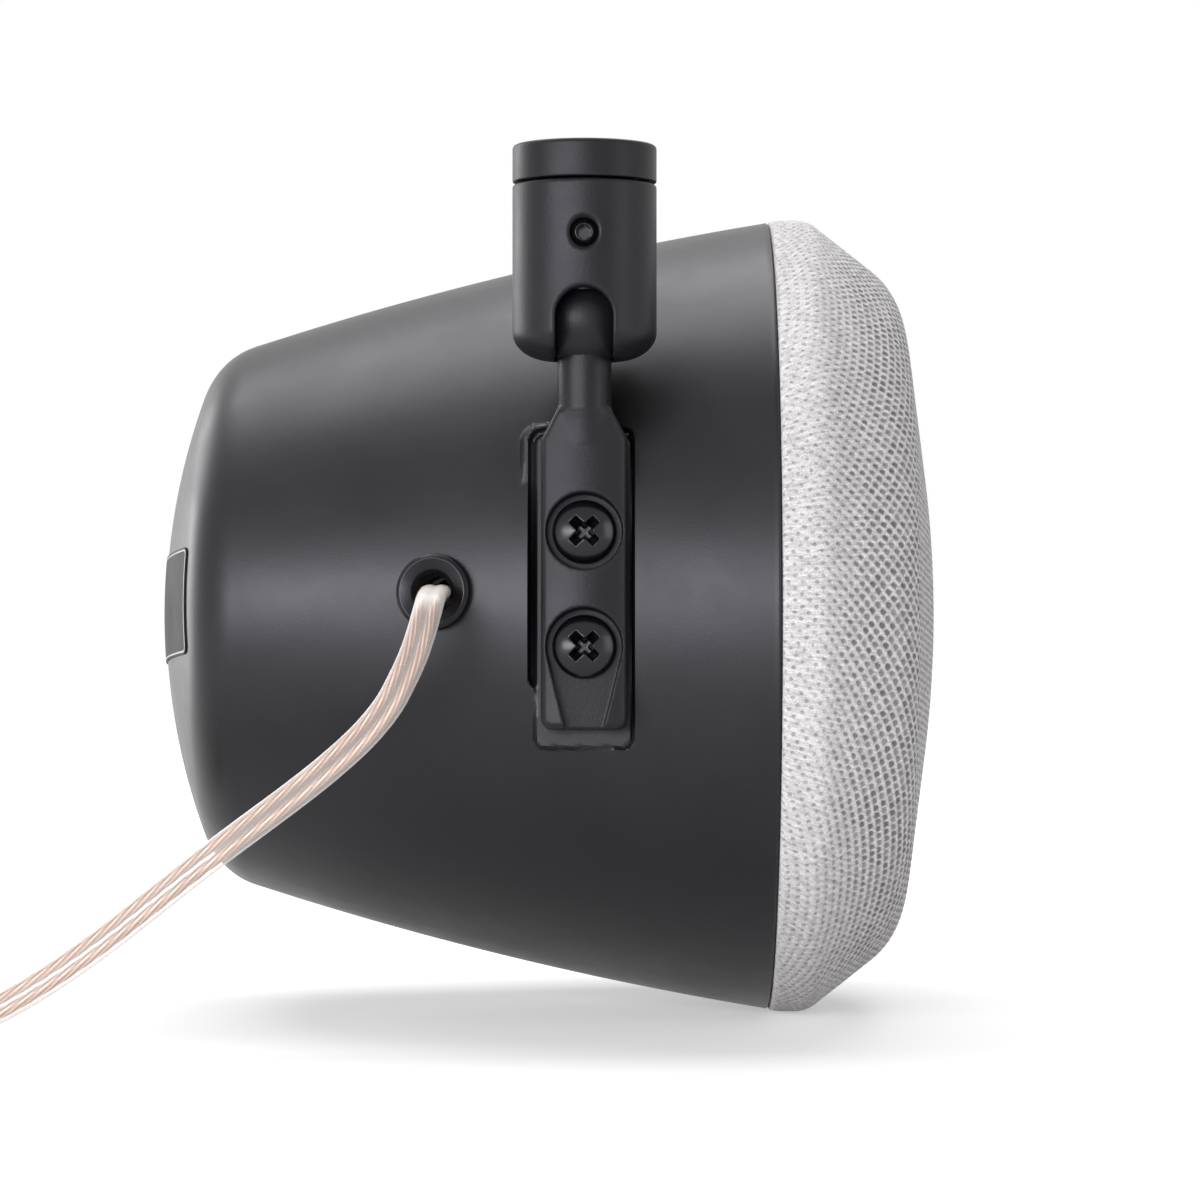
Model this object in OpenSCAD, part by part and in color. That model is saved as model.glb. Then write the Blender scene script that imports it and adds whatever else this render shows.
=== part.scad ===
// Pod speaker hung from a swivelling ball mount.
// Millimetres. The origin is the middle of the mount collar's top face, +Z is up,
// +X points to the fabric front and the arm is on the -Y side of the pod.

/* [Mount head] */
// Diameter of the collar and of the socket body
head_d = 21.4; // [20:0.1:24]
// Height of the collar above the socket body
collar_h = 5.5; // [4.5:0.1:8]
// Thin shadow gap between collar and socket body
seam_gap = 0.3; // [0.2:0.05:0.5]
// Height from the collar's top to the bottom of the socket body
head_h = 31.9; // [31.7:0.1:32.1]
// Diameter of the collar's spigot and of the bore it turns in
spigot_d = 14; // [13.5:0.1:14.6]
// Length of the spigot below the collar
spigot_len = 10.4; // [10:0.1:10.8]
// Tapping radius of the thread in the collar's top
thread_r = 3.4; // [2.5:0.1:4]
// Depth of that thread
thread_depth = 12; // [8:0.5:13]
// Radial running clearance of the spigot and the clamp cup in the bore
fit_gap = 0.05; // [0.03:0.01:0.08]
// Height from the collar's top down to the grub screw
grub_drop = 13.7; // [13.2:0.1:13.8]
// Diameter of the grub screw
grub_d = 4; // [3:0.5:4.5]
// Width of the grub screw's hexagon socket across its flats
grub_hex = 2; // [1.5:0.1:2.2]

/* [Ball joint] */
// Diameter of the ball
ball_d = 14; // [13.6:0.1:14.2]
// Height from the collar's top down to the ball's centre
ball_drop = 25.8; // [25.6:0.05:26]
// Diameter of the arm's stem
stem_d = 8; // [7:0.1:8.2]
// Clearance of the stem in the socket's mouth and notch
stem_gap = 0.25; // [0.2:0.05:0.4]
// Diameter of the stud that holds the ball on the stem
stud_d = 5; // [4:0.1:5.5]
// Height of the clamp cup's rim above the ball's centre
cup_rim = 4; // [3.9:0.1:4.4]
// Thickness of the clamp cup over the ball
cup_roof = 1.6; // [1.2:0.1:1.8]
// Thickness of the disc spring above the cup
spring_t = 0.7; // [0.5:0.05:0.9]
// Angle at which the arm leans out of the vertical, degrees
lean = 3.9; // [0:0.1:10]

/* [Arm] */
// Width of the arm's plate
plate_w = 12.8; // [12.2:0.1:13.4]
// Thickness of the plate at its crown, from the pad
plate_t = 7; // [6.4:0.1:7.8]
// Radius of the plate's convex front
crown_r = 15; // [12:0.5:30]
// From the ball's centre down to where the shoulders start
shoulder_top = 13.5; // [12.5:0.1:14.5]
// From the ball's centre down to the plate's full width
shoulder_low = 17.9; // [16.5:0.1:19]
// From the ball's centre down to the middle of the two screws
screw_mid = 40.1; // [39:0.1:44]
// Distance between the two screws
screw_pitch = 17; // [14:0.1:18]
// From the lower screw down to the plate's end
plate_tail = 12.1; // [10:0.1:13]
// Diameter of the round recess around each screw head
recess_d = 11.4; // [10.6:0.1:11.8]
// Depth of that recess below the crown
recess_depth = 3.3; // [2.8:0.1:3.6]
// Width of the lower recess where it runs out at the plate's end
recess_exit = 5.1; // [4:0.1:8]
// Diameter of a bracket screw's head
screw_head_d = 9.5; // [8.5:0.1:10]
// Diameter of a bracket screw's shank
screw_d = 5; // [4:0.1:5]
// Length of a bracket screw under its head
screw_len = 11; // [9:0.5:12.5]
// Clearance of the shank in the plate's hole
screw_gap = 0.3; // [0.2:0.05:0.5]
// Outer diameter of a brass insert
insert_d = 7; // [6.6:0.1:7.4]
// Length of a brass insert
insert_len = 9; // [7:0.5:10]

/* [Housing] */
// Radius of the housing at its front edge
housing_r = 63.7; // [63.4:0.1:67]
// From the stem's axis forward to the front edge
housing_front = 29; // [28:0.5:33]
// From the stem's axis back to the middle of the rear dome
housing_back = 68; // [66:0.5:74]
// Slope of the side at the front edge, degrees
side_slope = 9.2; // [8.6:0.1:10]
// Radius of the side's long curve
side_r = 560; // [500:10:700]
// Radius of the rear dome
dome_r = 102; // [95:1:120]
// Radius of the corner between the side and the dome
corner_r = 12; // [9:0.5:15]
// Wall of the housing
wall = 2.5; // [2.2:0.1:3]
// Wall left around the seat of the front parts
rim_wall = 2; // [1.6:0.1:2.4]
// Depth of that seat behind the front edge
seat_depth = 10; // [9.5:0.1:11]
// Small round of the front edge
rim_edge = 0.5; // [0.2:0.1:0.8]
// How deep the flat pad that the arm sits on lies in the housing's side
pad_sink = 3.8; // [3.2:0.1:4.2]
// Half height of the pad
pad_half_h = 23.3; // [22.5:0.1:25]
// Depth of the narrow groove beside the pad
groove_depth = 1; // [0.6:0.1:1.4]
// Thickness of the wall behind the pad
pad_back = 4.5; // [4:0.1:6]

/* [Front grille] */
// How far the fabric stands out past the housing's edge
fabric_proud = 0.3; // [0:0.1:0.8]
// Width of the straight band behind the rounded edge
band_w = 4.4; // [3.6:0.1:6]
// Radius of the edge in front of the band
edge_r = 5; // [4.4:0.1:6]
// Angle of the broad bevel to the pod's axis, degrees
bevel_angle = 37.9; // [34:0.1:42]
// Length of the broad bevel
bevel_len = 11.5; // [10:0.1:13]
// Radius of the round between bevel and face
face_corner_r = 13; // [10:0.5:15]
// Angle of the shallow conical face, degrees
face_angle = 8.6; // [7:0.1:10]
// Radius of the face's domed middle
face_dome_r = 176; // [140:2:200]
// Thickness of the knitted fabric
fabric_t = 0.8; // [0.5:0.1:1]
// Thickness of the moulded frame under the fabric
grille_t = 2.2; // [1.8:0.1:2.6]
// Width of the ribs between the frame's windows
rib_w = 3; // [2:0.1:4]

/* [Baffle and driver] */
// Thickness of the baffle
baffle_t = 4; // [3.6:0.1:4.4]
// Thickness of the foam ring behind the baffle
seal_t = 1.5; // [1:0.1:1.8]
// Width of the ring outside the driver, which takes the baffle's screws
baffle_ring_w = 6.1; // [5.8:0.1:6.6]
// Width of the driver's flange outside the hole that the driver drops into
flange_w = 5.8; // [5.6:0.1:6.2]
// Depth of the driver's frame behind its flange
basket_depth = 24.5; // [22:0.5:26]
// Number of screws that hold the baffle
baffle_screws_n = 6; // [4:1:6]
// Number of screws that hold the driver
driver_screws_n = 4; // [4:1:6]
// Thickness of the pressed steel of the driver's frame
steel_t = 1.2; // [1:0.1:1.3]
// How far the magnet ring stands out past the basket's neck
magnet_lip = 4.5; // [3.6:0.1:5]
// Thickness of the magnet ring
magnet_t = 12; // [10:0.5:14]
// Thickness of the steel plates before and behind the magnet
plate_steel_t = 4; // [3.5:0.1:5]
// Radius of the voice coil's former
coil_r = 12.8; // [12.6:0.1:13]
// Clearance of the voice coil on each side of the magnetic gap
coil_gap = 0.45; // [0.35:0.05:0.6]
// Radius of the surround's half roll
roll_r = 3; // [2.4:0.1:3.2]
// Thickness of the paper
paper_t = 0.5; // [0.4:0.05:0.6]
// Radius of the dust cap
dust_cap_r = 17; // [15:0.5:20]
// Thickness of the damping wadding
wadding_t = 8; // [5:0.5:12]

/* [Lead and label] */
// From the stem's axis back to the lead's grommet
grommet_back = 22.3; // [20:0.1:26]
// Diameter of the grommet's outer flange
grommet_d = 11.5; // [10.5:0.1:13]
// Height of that flange
grommet_h = 2; // [1.4:0.1:2.6]
// Radius of the grommet's waist and of the hole in the housing
grommet_waist_r = 4.5; // [3.8:0.1:4.8]
// Width of the flat two core lead
lead_w = 4.4; // [4:0.1:4.6]
// Thickness of the flat two core lead
lead_t = 2.2; // [2:0.1:2.4]
// Width of the bare label on the rear dome
label_w = 72; // [40:1:72]
// Height of the label
label_h = 16.5; // [10:0.5:24]
// Thickness of the label
label_t = 0.25; // [0.15:0.05:0.4]

/* [Hidden] */
$fn = 64;

// A hair of clearance between round parts of one assembly, and past a cut's face
touch = 0.03;
over = 1;

// Places on the stem's axis, measured up from the collar's top
ball_r = ball_d / 2;
stem_r = stem_d / 2;
ball_z = -ball_drop;
spigot_r = spigot_d / 2;
bore_r = spigot_r + fit_gap;
spigot_end = -collar_h - spigot_len;
neck_drop = sqrt(ball_r * ball_r - stem_r * stem_r);
cup_top = ball_z + ball_r + cup_roof;
mouth_r = stem_r + stem_gap;
head_edge = 0.5;
foot_round_w = 5.7;
foot_round_h = 4.2;
stop_depth = 0.9;
grub_tip_r = grub_d / 4;
stop_half_w = grub_tip_r + 0.3;
stop_lip = 0.3;
grub_face = head_d / 2 - 0.5;
grub_body = spigot_r + 0.15;
grub_point = spigot_r - stop_depth + 0.15;

// Places in the pod's own frame, in which the arm is upright
plate_back_y = stem_r;
pod_z = ball_z - screw_mid;
crown_y = plate_back_y - plate_t;
recess_y = crown_y + recess_depth;
plate_end = screw_mid + screw_pitch / 2 + plate_tail;
screw_zs = [pod_z + screw_pitch / 2, pod_z - screw_pitch / 2];
pad_half_w = plate_w / 2 + 0.7;
pad_edge = 1.1;
pad_round = 1.4;
ear_t = 0.8;
ear_drop = 0.6;
boss_r = insert_d / 2 + 2;
insert_bore_r = screw_d / 2 + 0.05;

// The housing's outline is three arcs: the dome, the corner and the side
side_c = [housing_front + side_r * sin(side_slope), housing_r - side_r * cos(side_slope)];
dome_c = [dome_r - housing_back, 0];
corner_c = circles_meet(side_c, side_r - corner_r, dome_c, dome_r - corner_r);
dome_end = bearing(corner_c - dome_c);
side_start = bearing(corner_c - side_c);
pad_reach = side_radius(0) - pad_sink;
pod_y = plate_back_y + pad_reach;

// The front's outline is a band, an edge, a bevel, a corner, a cone and a dome
seam_x = housing_front + 0.1;
fabric_r = housing_r + fabric_proud;
edge_c = [seam_x + band_w, fabric_r - edge_r];
bevel_start = edge_c + edge_r * heading(90 - bevel_angle);
bevel_end = bevel_start + bevel_len * [cos(bevel_angle), -sin(bevel_angle)];
face_corner_c = bevel_end - face_corner_r * heading(90 - bevel_angle);
cone_start = face_corner_c + face_corner_r * heading(face_angle);
cone_len = (cone_start[1] - face_dome_r * sin(face_angle)) / cos(face_angle);
face_dome_c = [
    cone_start[0] + cone_len * sin(face_angle) - face_dome_r * cos(face_angle), 0
];

hub_r = 5;
grille_row = (bevel_end[1] - 7 - hub_r) / 3;

// The stack behind the grille, front to back along the pod's axis
ledge_x = housing_front - seat_depth;
seat_r = side_radius(ledge_x) - rim_wall;
front_r = seat_r - 0.3;
skirt_r = front_r - 2;
baffle_x = ledge_x + seal_t;
baffle_face = baffle_x + baffle_t;
driver_r = skirt_r - baffle_ring_w;
cutout_r = driver_r - flange_w;
baffle_screw_ring = (skirt_r + driver_r) / 2;
baffle_boss_r = 3.4;
baffle_screw_turn = 30;
driver_screw_turn = 45;
ledge_in_r = baffle_screw_ring - 2.6;
driver_seal_t = 1;
flange_x = baffle_face + driver_seal_t;
flange_face = flange_x + steel_t;
driver_screw_ring = (driver_r + cutout_r) / 2;
basket_r = cutout_r - 1.5;
basket_floor_x = flange_face - basket_depth;
spider_x = basket_floor_x + 5.8;
spider_ledge_r = basket_r - 7;
basket_neck_r = spider_ledge_r - 6.8;
magnet_r = basket_neck_r + magnet_lip;
window_w = 14;
window_h = 10;
magnet_front = basket_floor_x - steel_t - plate_steel_t;
magnet_back = magnet_front - magnet_t;
winding_r = coil_r + 0.6;
cone_r = cutout_r - 2 * roll_r - 2.5;
gap_outer_r = winding_r + coil_gap;
pole_r = coil_r - coil_gap;
cone_neck_x = spider_x + 4;
board_t = 1.55;
board_w = 14;
board_x = spider_x - steel_t - board_t - 0.05;
board_r = spider_ledge_r + 5.4;
tag_r = spider_ledge_r + 3.2;
tag_len = 9;
tag_t = 0.8;
tag_w = 4;
tag_gap = 4;
cone_rim_x = flange_face - paper_t;
cone_neck_r = coil_r + 0.25;
surround_r = cone_r + 2 * roll_r + 2.4;
vent_r = 3;

// The lead's grommet, at the surface and square to it
grommet_slope = side_slope_at(-grommet_back);
grommet_r = side_radius(-grommet_back);
grommet_slack = 0.45;
lead_bore_r = lead_w / 2 + 0.25;
tie_y = pod_y - grommet_r + wall + grommet_slack + 4;

// The lead's route from inside the grommet to the coil, in the row's own frame
lead_route = [
    [-20.5, 9.9, -66.7], [-21.4, 6.5, -66.4], [-22.3, 3.2, -66.2], [-22.9, 0.9, -66.0],
    [-23.4, -1.4, -65.9], [-23.8, -4.5, -66.3], [-24.0, -7.6, -67.8],
    [-24.1, -10.0, -70.6], [-24.4, -11.3, -74.4], [-25.3, -11.8, -78.4],
    [-27.4, -12.0, -82.4], [-31.1, -12.0, -86.7], [-35.8, -11.8, -90.8],
    [-41.3, -11.5, -95.0], [-50.2, -10.8, -101.5], [-57.0, -10.2, -106.8],
    [-63.4, -9.6, -111.9], [-71, -9, -117.8], [-79, -8.2, -123.3], [-87, -7.4, -127.8],
    [-95, -6.6, -130.6], [-104, -5.9, -131.5], [-113, -5.5, -131.5],
    [-123, -5.5, -131.5], [-133, -5.5, -131.5]
];
floor_z = -133.8;
coil_x = -133;
coil_y = 28;
coil_turn_r = 31;
coil_turns = 6;
coil_step = 2.4;
coil_layer = 4.6;
coil_out_r = coil_turn_r + 1.3;
coil_in_r = coil_turn_r - (coil_turns - 1) * coil_step - 1.3;
tail_r = lead_t / 2;
tail_len = 26;
strand_r = 0.45;
strand_len = 8;
tail_top = 6.9;

// Unit vector at an angle from the pod's axis
function heading(a) = [cos(a), sin(a)];
function bearing(v) = atan2(v[1], v[0]);
function unit(v) = v / norm(v);

// Points of an arc, from one angle to another in n steps
function arc(c, r, from, to, n) = [for (i = [0 : n]) c + r * heading(from + (to - from) * i / n)];

// The meeting point, to the left of the line from a to b, of two circles
function circles_meet(a, ra, b, rb) =
    let (d = norm(b - a), u = (b - a) / d, l = (ra * ra - rb * rb + d * d) / (2 * d))
    a + l * u + sqrt(ra * ra - l * l) * [-u[1], u[0]];

// Radius and slope of the housing's side at a place along the axis
function side_angle(x) = acos((x - side_c[0]) / side_r);
function side_radius(x) = side_c[1] + side_r * sin(side_angle(x));
function side_slope_at(x) = side_angle(x) - 90;

// The housing's outline from the dome's middle to a place on its side, moved inward
function housing_outline(inset, end_x) = concat(
    arc(dome_c, dome_r - inset, 180, dome_end, 6),
    arc(corner_c, corner_r - inset, dome_end, side_start, 6),
    arc(side_c, side_r - inset, side_start, side_angle(end_x), 8)
);

// The front's outline from the band to the middle of the face, moved inward
function front_outline(inset) = concat(
    arc(edge_c, edge_r - inset, 90, 90 - bevel_angle, 4),
    arc(face_corner_c, face_corner_r - inset, 90 - bevel_angle, face_angle, 5),
    arc(face_dome_c, face_dome_r - inset, face_angle, 0, 4)
);

function backwards(p) = [for (i = [len(p) - 1 : -1 : 0]) p[i]];

// A polygon's corners rounded, each point being [x, y, radius]
function rounded(p, n = 4) = [
    for (i = [0 : len(p) - 1])
        each corner(flat(p[(i + len(p) - 1) % len(p)]), flat(p[i]), flat(p[(i + 1) % len(p)]), p[i][2], n)
];
function flat(p) = [p[0], p[1]];
function corner(a, b, c, r, n) =
    r <= 0 ? [b] :
    let (u = unit(a - b), v = unit(c - b), half = acos(u * v) / 2,
         o = b + unit(u + v) * r / sin(half),
         from = bearing(b + u * r / tan(half) - o), to = bearing(b + v * r / tan(half) - o),
         turn = (to - from + 540) % 360 - 180)
    arc(o, r, from, from + turn, n);

// Turns an outline along the axis into a solid of revolution about Z
module turned(p) rotate_extrude() polygon([for (q = p) [max(q[1], 0), q[0]]]);

// Puts children, turned about Z, on the pod's axis with Z forward
module on_pod_axis() translate([0, pod_y, pod_z]) rotate([0, 90, 0]) children();

// Leans the arm and the pod about the ball's centre
module leaning() translate([0, 0, ball_z]) rotate([-lean, 0, 0]) translate([0, 0, -ball_z]) children();

// Extrudes an outline drawn in X and Z from one Y to a nearer one
module slab(back, front) translate([0, back, 0]) rotate([90, 0, 0]) linear_extrude(back - front) children();

// Children along -Y, outward from a Y
module outward(x, y, z) translate([x, y, z]) rotate([90, 0, 0]) children();

// Copies children round the pod's axis
module ring_of(n, r, turn = 0)
    for (i = [0 : n - 1]) rotate(turn + 360 * i / n) translate([r, 0, 0]) children();

// Places of the screws that hold the baffle and the driver
module baffle_screw_places() ring_of(baffle_screws_n, baffle_screw_ring, baffle_screw_turn) children();
module driver_screw_places() ring_of(driver_screws_n, driver_screw_ring, driver_screw_turn) children();

// A round hole with a wider mouth, downward from Z = 0
module tube_of(r_out, r_in, h) difference() {
    cylinder(r = r_out, h = h);
    translate([0, 0, -over]) cylinder(r = r_in, h = h + 2 * over);
}

// The collar that is fixed overhead, with its spigot and the grub screw's groove
module mount_collar() color("#2a2a2c") difference() {
    rotate_extrude() polygon([
        [0, 0], [head_d / 2 - head_edge, 0], [head_d / 2, -head_edge],
        [head_d / 2, -collar_h + 0.2], [head_d / 2 - 0.2, -collar_h], [spigot_r, -collar_h],
        [spigot_r, -grub_drop + stop_half_w], [spigot_r - stop_depth, -grub_drop + stop_half_w],
        [spigot_r - stop_depth, -grub_drop - stop_half_w],
        [spigot_r, -grub_drop - stop_half_w - stop_lip], [spigot_r, spigot_end + stop_lip],
        [spigot_r - stop_lip, spigot_end], [0, spigot_end]
    ]);
    translate([0, 0, -thread_depth]) cylinder(r = thread_r, h = thread_depth + over);
}

// The socket's outline with a chamfered top and an elliptical foot
module socket_blank() rotate_extrude() polygon(concat(
    [[0, -collar_h - seam_gap], [head_d / 2 - 0.3, -collar_h - seam_gap],
     [head_d / 2, -collar_h - seam_gap - 0.3]],
    [for (i = [0 : 8]) [
        head_d / 2 - foot_round_w * (1 - cos(90 * i / 8)),
        -head_h + foot_round_h * (1 - sin(90 * i / 8))
    ]],
    [[0, -head_h]]
));

// The notch that lets the stem swing out to the side
module stem_notch() {
    outward(0, 0, ball_z) cylinder(r = mouth_r, h = head_d);
    translate([-mouth_r, -head_d, -head_h - over]) cube([2 * mouth_r, head_d, head_h + over + ball_z]);
}

module socket_body() color("#2a2a2c") difference() {
    socket_blank();
    translate([0, 0, ball_z]) cylinder(r = bore_r, h = ball_drop);
    translate([0, 0, ball_z]) sphere(r = ball_r + fit_gap);
    translate([0, 0, -head_h - over]) cylinder(r = mouth_r, h = ball_drop);
    stem_notch();
    outward(0, 0, -grub_drop) cylinder(r = grub_d / 2 + touch, h = head_d);
    outward(0, -grub_face, -grub_drop) cylinder(r1 = grub_d / 2, r2 = grub_d / 2 + 1, h = 1);
}

// Grub screw with a hexagon socket and a plain point in the collar's groove
module grub_screw() color("#1c1c1e") outward(0, 0, -grub_drop) difference() {
    union() {
        translate([0, 0, grub_body]) cylinder(r = grub_d / 2, h = grub_face - 0.2 - grub_body);
        translate([0, 0, grub_body]) cylinder(r = grub_d / 2 - 0.3, h = grub_face - grub_body);
        translate([0, 0, grub_point]) cylinder(r = grub_tip_r, h = grub_face - 1 - grub_point);
    }
    translate([0, 0, grub_face - 1.8]) cylinder(r = grub_hex / sqrt(3), h = 3, $fn = 6);
}

// Disc spring that keeps the ball clamped
module friction_spring() color("#8d8f92") turned([
    [cup_top + touch, ball_r / 2 + spring_t], [spigot_end - spring_t - touch, spigot_r - 0.2],
    [spigot_end - touch, spigot_r - 0.2], [cup_top + spring_t + touch, ball_r / 2 + spring_t]
]);

// Cup that presses on the ball
module clamp_cup() color("#8d8f92") difference() {
    translate([0, 0, ball_z + cup_rim]) cylinder(r = spigot_r, h = cup_top - ball_z - cup_rim);
    translate([0, 0, ball_z]) sphere(r = ball_r + touch);
}

module pivot_ball() color("#6f7174") leaning() translate([0, 0, ball_z]) difference() {
    sphere(r = ball_r);
    translate([0, 0, -ball_r - over]) cylinder(r = ball_r, h = ball_r + over - neck_drop);
    translate([0, 0, -ball_r]) cylinder(r = stud_d / 2 + touch, h = ball_r + 1.6);
}

// Outline of the arm's plate below its stem, moved inward
module plate_outline(inset) translate([0, ball_z]) polygon(rounded([
    [-stem_r + inset, -shoulder_top - inset, 0.8], [-plate_w / 2 + inset, -shoulder_low - inset / 2, 1.5],
    [-plate_w / 2 + inset, -plate_end + inset, 1.6], [plate_w / 2 - inset, -plate_end + inset, 1.6],
    [plate_w / 2 - inset, -shoulder_low - inset / 2, 1.5], [stem_r - inset, -shoulder_top - inset, 0.8]
]));

// The lower recess opens downward between two straight sides
module recess_runout() {
    drop = plate_tail + over;
    far = [recess_exit / 2, -drop];
    side = bearing(far) + acos(recess_d / 2 / norm(far));
    translate([0, screw_zs[1]]) polygon(concat(
        [far], arc([0, 0], recess_d / 2, side, 180 - side, 28), [[-far[0], far[1]]]
    ));
}

// One casting: stud, stem and the plate with its two recessed holes
module bracket_arm() color("#2f2f31") leaning() difference() {
    union() {
        translate([0, 0, ball_z - neck_drop - touch]) cylinder(r = stud_d / 2, h = neck_drop + 1.2);
        translate([0, 0, ball_z - shoulder_top]) cylinder(r = stem_r, h = shoulder_top - neck_drop - touch);
        translate([0, 0, ball_z - shoulder_low - 1])
            cylinder(r1 = stem_r - 1.2, r2 = stem_r, h = shoulder_low + 1 - shoulder_top);
        intersection() {
            hull() {
                slab(plate_back_y, crown_y + 2) plate_outline(0);
                slab(plate_back_y, crown_y) plate_outline(0.8);
            }
            translate([0, crown_y + crown_r, ball_z - plate_end - over])
                cylinder(r = crown_r, h = plate_end, $fn = 96);
        }
    }
    for (z = screw_zs)
        outward(0, plate_back_y + over, z) cylinder(r = screw_d / 2 + screw_gap, h = plate_t + 2 * over);
    outward(0, recess_y, screw_zs[0]) cylinder(r = recess_d / 2, h = recess_depth + over);
    slab(recess_y, crown_y - over) recess_runout();
}

// Cross recess, as two crossed bars
module cross_recess() for (a = [45, 135]) rotate(a) cube([4.8, 1.1, 4], center = true);

module bracket_screw(z) color("#151516") leaning() outward(0, recess_y, z) difference() {
    union() {
        translate([0, 0, -screw_len]) cylinder(r = screw_d / 2, h = screw_len);
        rotate_extrude() polygon([
            [0, 0], [screw_head_d / 2, 0], [screw_head_d / 2, 1.1], [screw_head_d / 2 - 0.5, 2],
            [screw_head_d / 2 - 1.5, 2.7], [screw_head_d / 2 - 3, 3.1], [0, 3.2]
        ]);
    }
    translate([0, 0, 3.4]) cross_recess();
}

module bracket_screw_upper() bracket_screw(screw_zs[0]);
module bracket_screw_lower() bracket_screw(screw_zs[1]);

module brass_inserts() color("#b08d4a") leaning() for (z = screw_zs)
    outward(0, plate_back_y + insert_len + touch, z) tube_of(insert_d / 2 - touch, insert_bore_r, insert_len);

// A solid of the housing's outline, moved inward and open to the front
module housing_solid(inset) turned(concat(
    housing_outline(inset, housing_front - rim_edge),
    [[housing_front, housing_r - rim_edge - inset], [housing_front, 0]]
));

// Outlines in X and Z around the pad, about the pod's axis
module pad_outline() translate([0, pod_z]) polygon(rounded([
    [-pad_half_w - 0.3, -pad_half_h, pad_round], [pad_half_w, -pad_half_h, pad_round],
    [pad_half_w, pad_half_h, pad_round], [-pad_half_w - 0.3, pad_half_h, pad_round]
]));
module pocket_outline() translate([0, pod_z]) polygon(rounded([
    [-pad_half_w - 0.3 - pad_edge, -pad_half_h * 0.58, 2], [-pad_half_w, -pad_half_h * 0.62, 1],
    [-pad_half_w, -pad_half_h, pad_round],
    [pad_half_w, -pad_half_h, pad_round], [pad_half_w, pad_half_h + pad_edge, pad_round],
    [-pad_half_w - 0.3 - pad_edge, pad_half_h + pad_edge, 2.2]
]));
module ear_outline() translate([0, pod_z]) polygon(rounded([
    [-pad_half_w - 0.3 - pad_edge - ear_t, pad_half_h * 0.4, 0.5], [-pad_half_w + 2.5, pad_half_h * 0.4, 0.5],
    [-pad_half_w + 2.5, pad_half_h + pad_edge + ear_t, 1.5],
    [-pad_half_w - 0.3 - pad_edge - ear_t, pad_half_h + pad_edge + ear_t, 3]
]));

// Ring and pillars that the baffle is screwed down on
module baffle_seat() {
    translate([0, 0, ledge_x - 2.5]) tube_of(housing_r, ledge_in_r, 2.5);
    baffle_screw_places()
        translate([0, 0, ledge_x - 15]) cylinder(r = baffle_boss_r, h = 15);
}

// The space inside the housing, open to the front
module housing_hollow() turned(concat(
    housing_outline(wall, ledge_x), [[housing_front + over, seat_r - wall], [housing_front + over, 0]]
));

// The grommet's own frame: Z square to the housing, out of it
module at_grommet() translate([-grommet_back, pod_y - grommet_r, pod_z])
    rotate([0, 0, -grommet_slope]) rotate([90, 0, 0]) children();

module rear_housing() color("#2b2b2d") leaning() difference() {
    union() {
        difference() {
            on_pod_axis() housing_solid(0);
            on_pod_axis() housing_hollow();
        }
        intersection() {
            on_pod_axis() housing_solid(0.3);
            union() {
                on_pod_axis() baffle_seat();
                translate([-pad_half_w - 3.2, plate_back_y - over, pod_z - pad_half_h - 3])
                    cube([2 * pad_half_w + 5.6, pad_back + over, 2 * pad_half_h + 6]);
            }
        }
        slab(plate_back_y + pad_back, plate_back_y) pad_outline();
        slab(plate_back_y + pad_back, plate_back_y + ear_drop) ear_outline();
        for (z = screw_zs)
            outward(0, plate_back_y + insert_len + 2.8, z) cylinder(r = boss_r, h = insert_len + 2.8);
    }
    slab(plate_back_y, crown_y - pad_back) pocket_outline();
    slab(plate_back_y + groove_depth, crown_y) difference() {
        pocket_outline();
        pad_outline();
    }
    on_pod_axis() translate([0, 0, ledge_x]) cylinder(r = seat_r, h = seat_depth + over);
    on_pod_axis() baffle_screw_places()
        translate([0, 0, ledge_x - 10.5]) cylinder(r = 1.25, h = 10.5 + over);
    for (z = screw_zs)
        outward(0, plate_back_y + insert_len + 1.4, z)
            cylinder(r = insert_d / 2, h = insert_len + 1.4 + over);
    at_grommet() translate([0, 0, -wall - 4]) cylinder(r = grommet_waist_r + touch, h = wall + 8);
}

// Bare sticker, bent to the rear dome
module rating_label() color("#1e1e20") leaning() on_pod_axis() translate([0, 0, dome_c[0]]) intersection() {
    difference() {
        sphere(r = dome_r + touch + label_t);
        sphere(r = dome_r + touch);
    }
    translate([-label_h / 2, -label_w / 2, -dome_r - over]) cube([label_h, label_w, dome_r]);
}

module wadding() color("#d8d6cf") leaning() on_pod_axis() turned(concat(
    arc(dome_c, dome_r - wall - 0.3, 180, dome_end + 3, 5),
    backwards(arc(dome_c, dome_r - wall - 0.3 - wadding_t, 180, dome_end + 3, 5))
));

// Rubber grommet with a domed outer flange, a waist and an inner flange
module cable_grommet() color("#111112") leaning() at_grommet() difference() {
    rotate_extrude() polygon([
        [0, grommet_h], [grommet_d / 2 - 1.6, grommet_h], [grommet_d / 2 - 0.5, grommet_h - 0.35],
        [grommet_d / 2, grommet_h - 1], [grommet_d / 2, 0.1], [grommet_waist_r, 0.1],
        [grommet_waist_r, -wall - grommet_slack], [grommet_d / 2 - 0.4, -wall - grommet_slack],
        [grommet_waist_r + 0.3, -wall - grommet_slack - 1.5], [0, -wall - grommet_slack - 1.5]
    ]);
    translate([0, 0, -wall - 4]) cylinder(r = lead_bore_r, h = wall + 8);
}

// Nylon tie that stops the lead from being pulled out
module lead_tie() color("#e4e2da") leaning() at_grommet()
    translate([0, 0, -wall - grommet_slack - 4]) tube_of(lead_bore_r + 1.2, lead_bore_r, 2.4);

// Direction of a route at one of its points
function along(p, i) = unit(p[min(i + 1, len(p) - 1)] - p[max(i - 1, 0)]);

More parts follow.
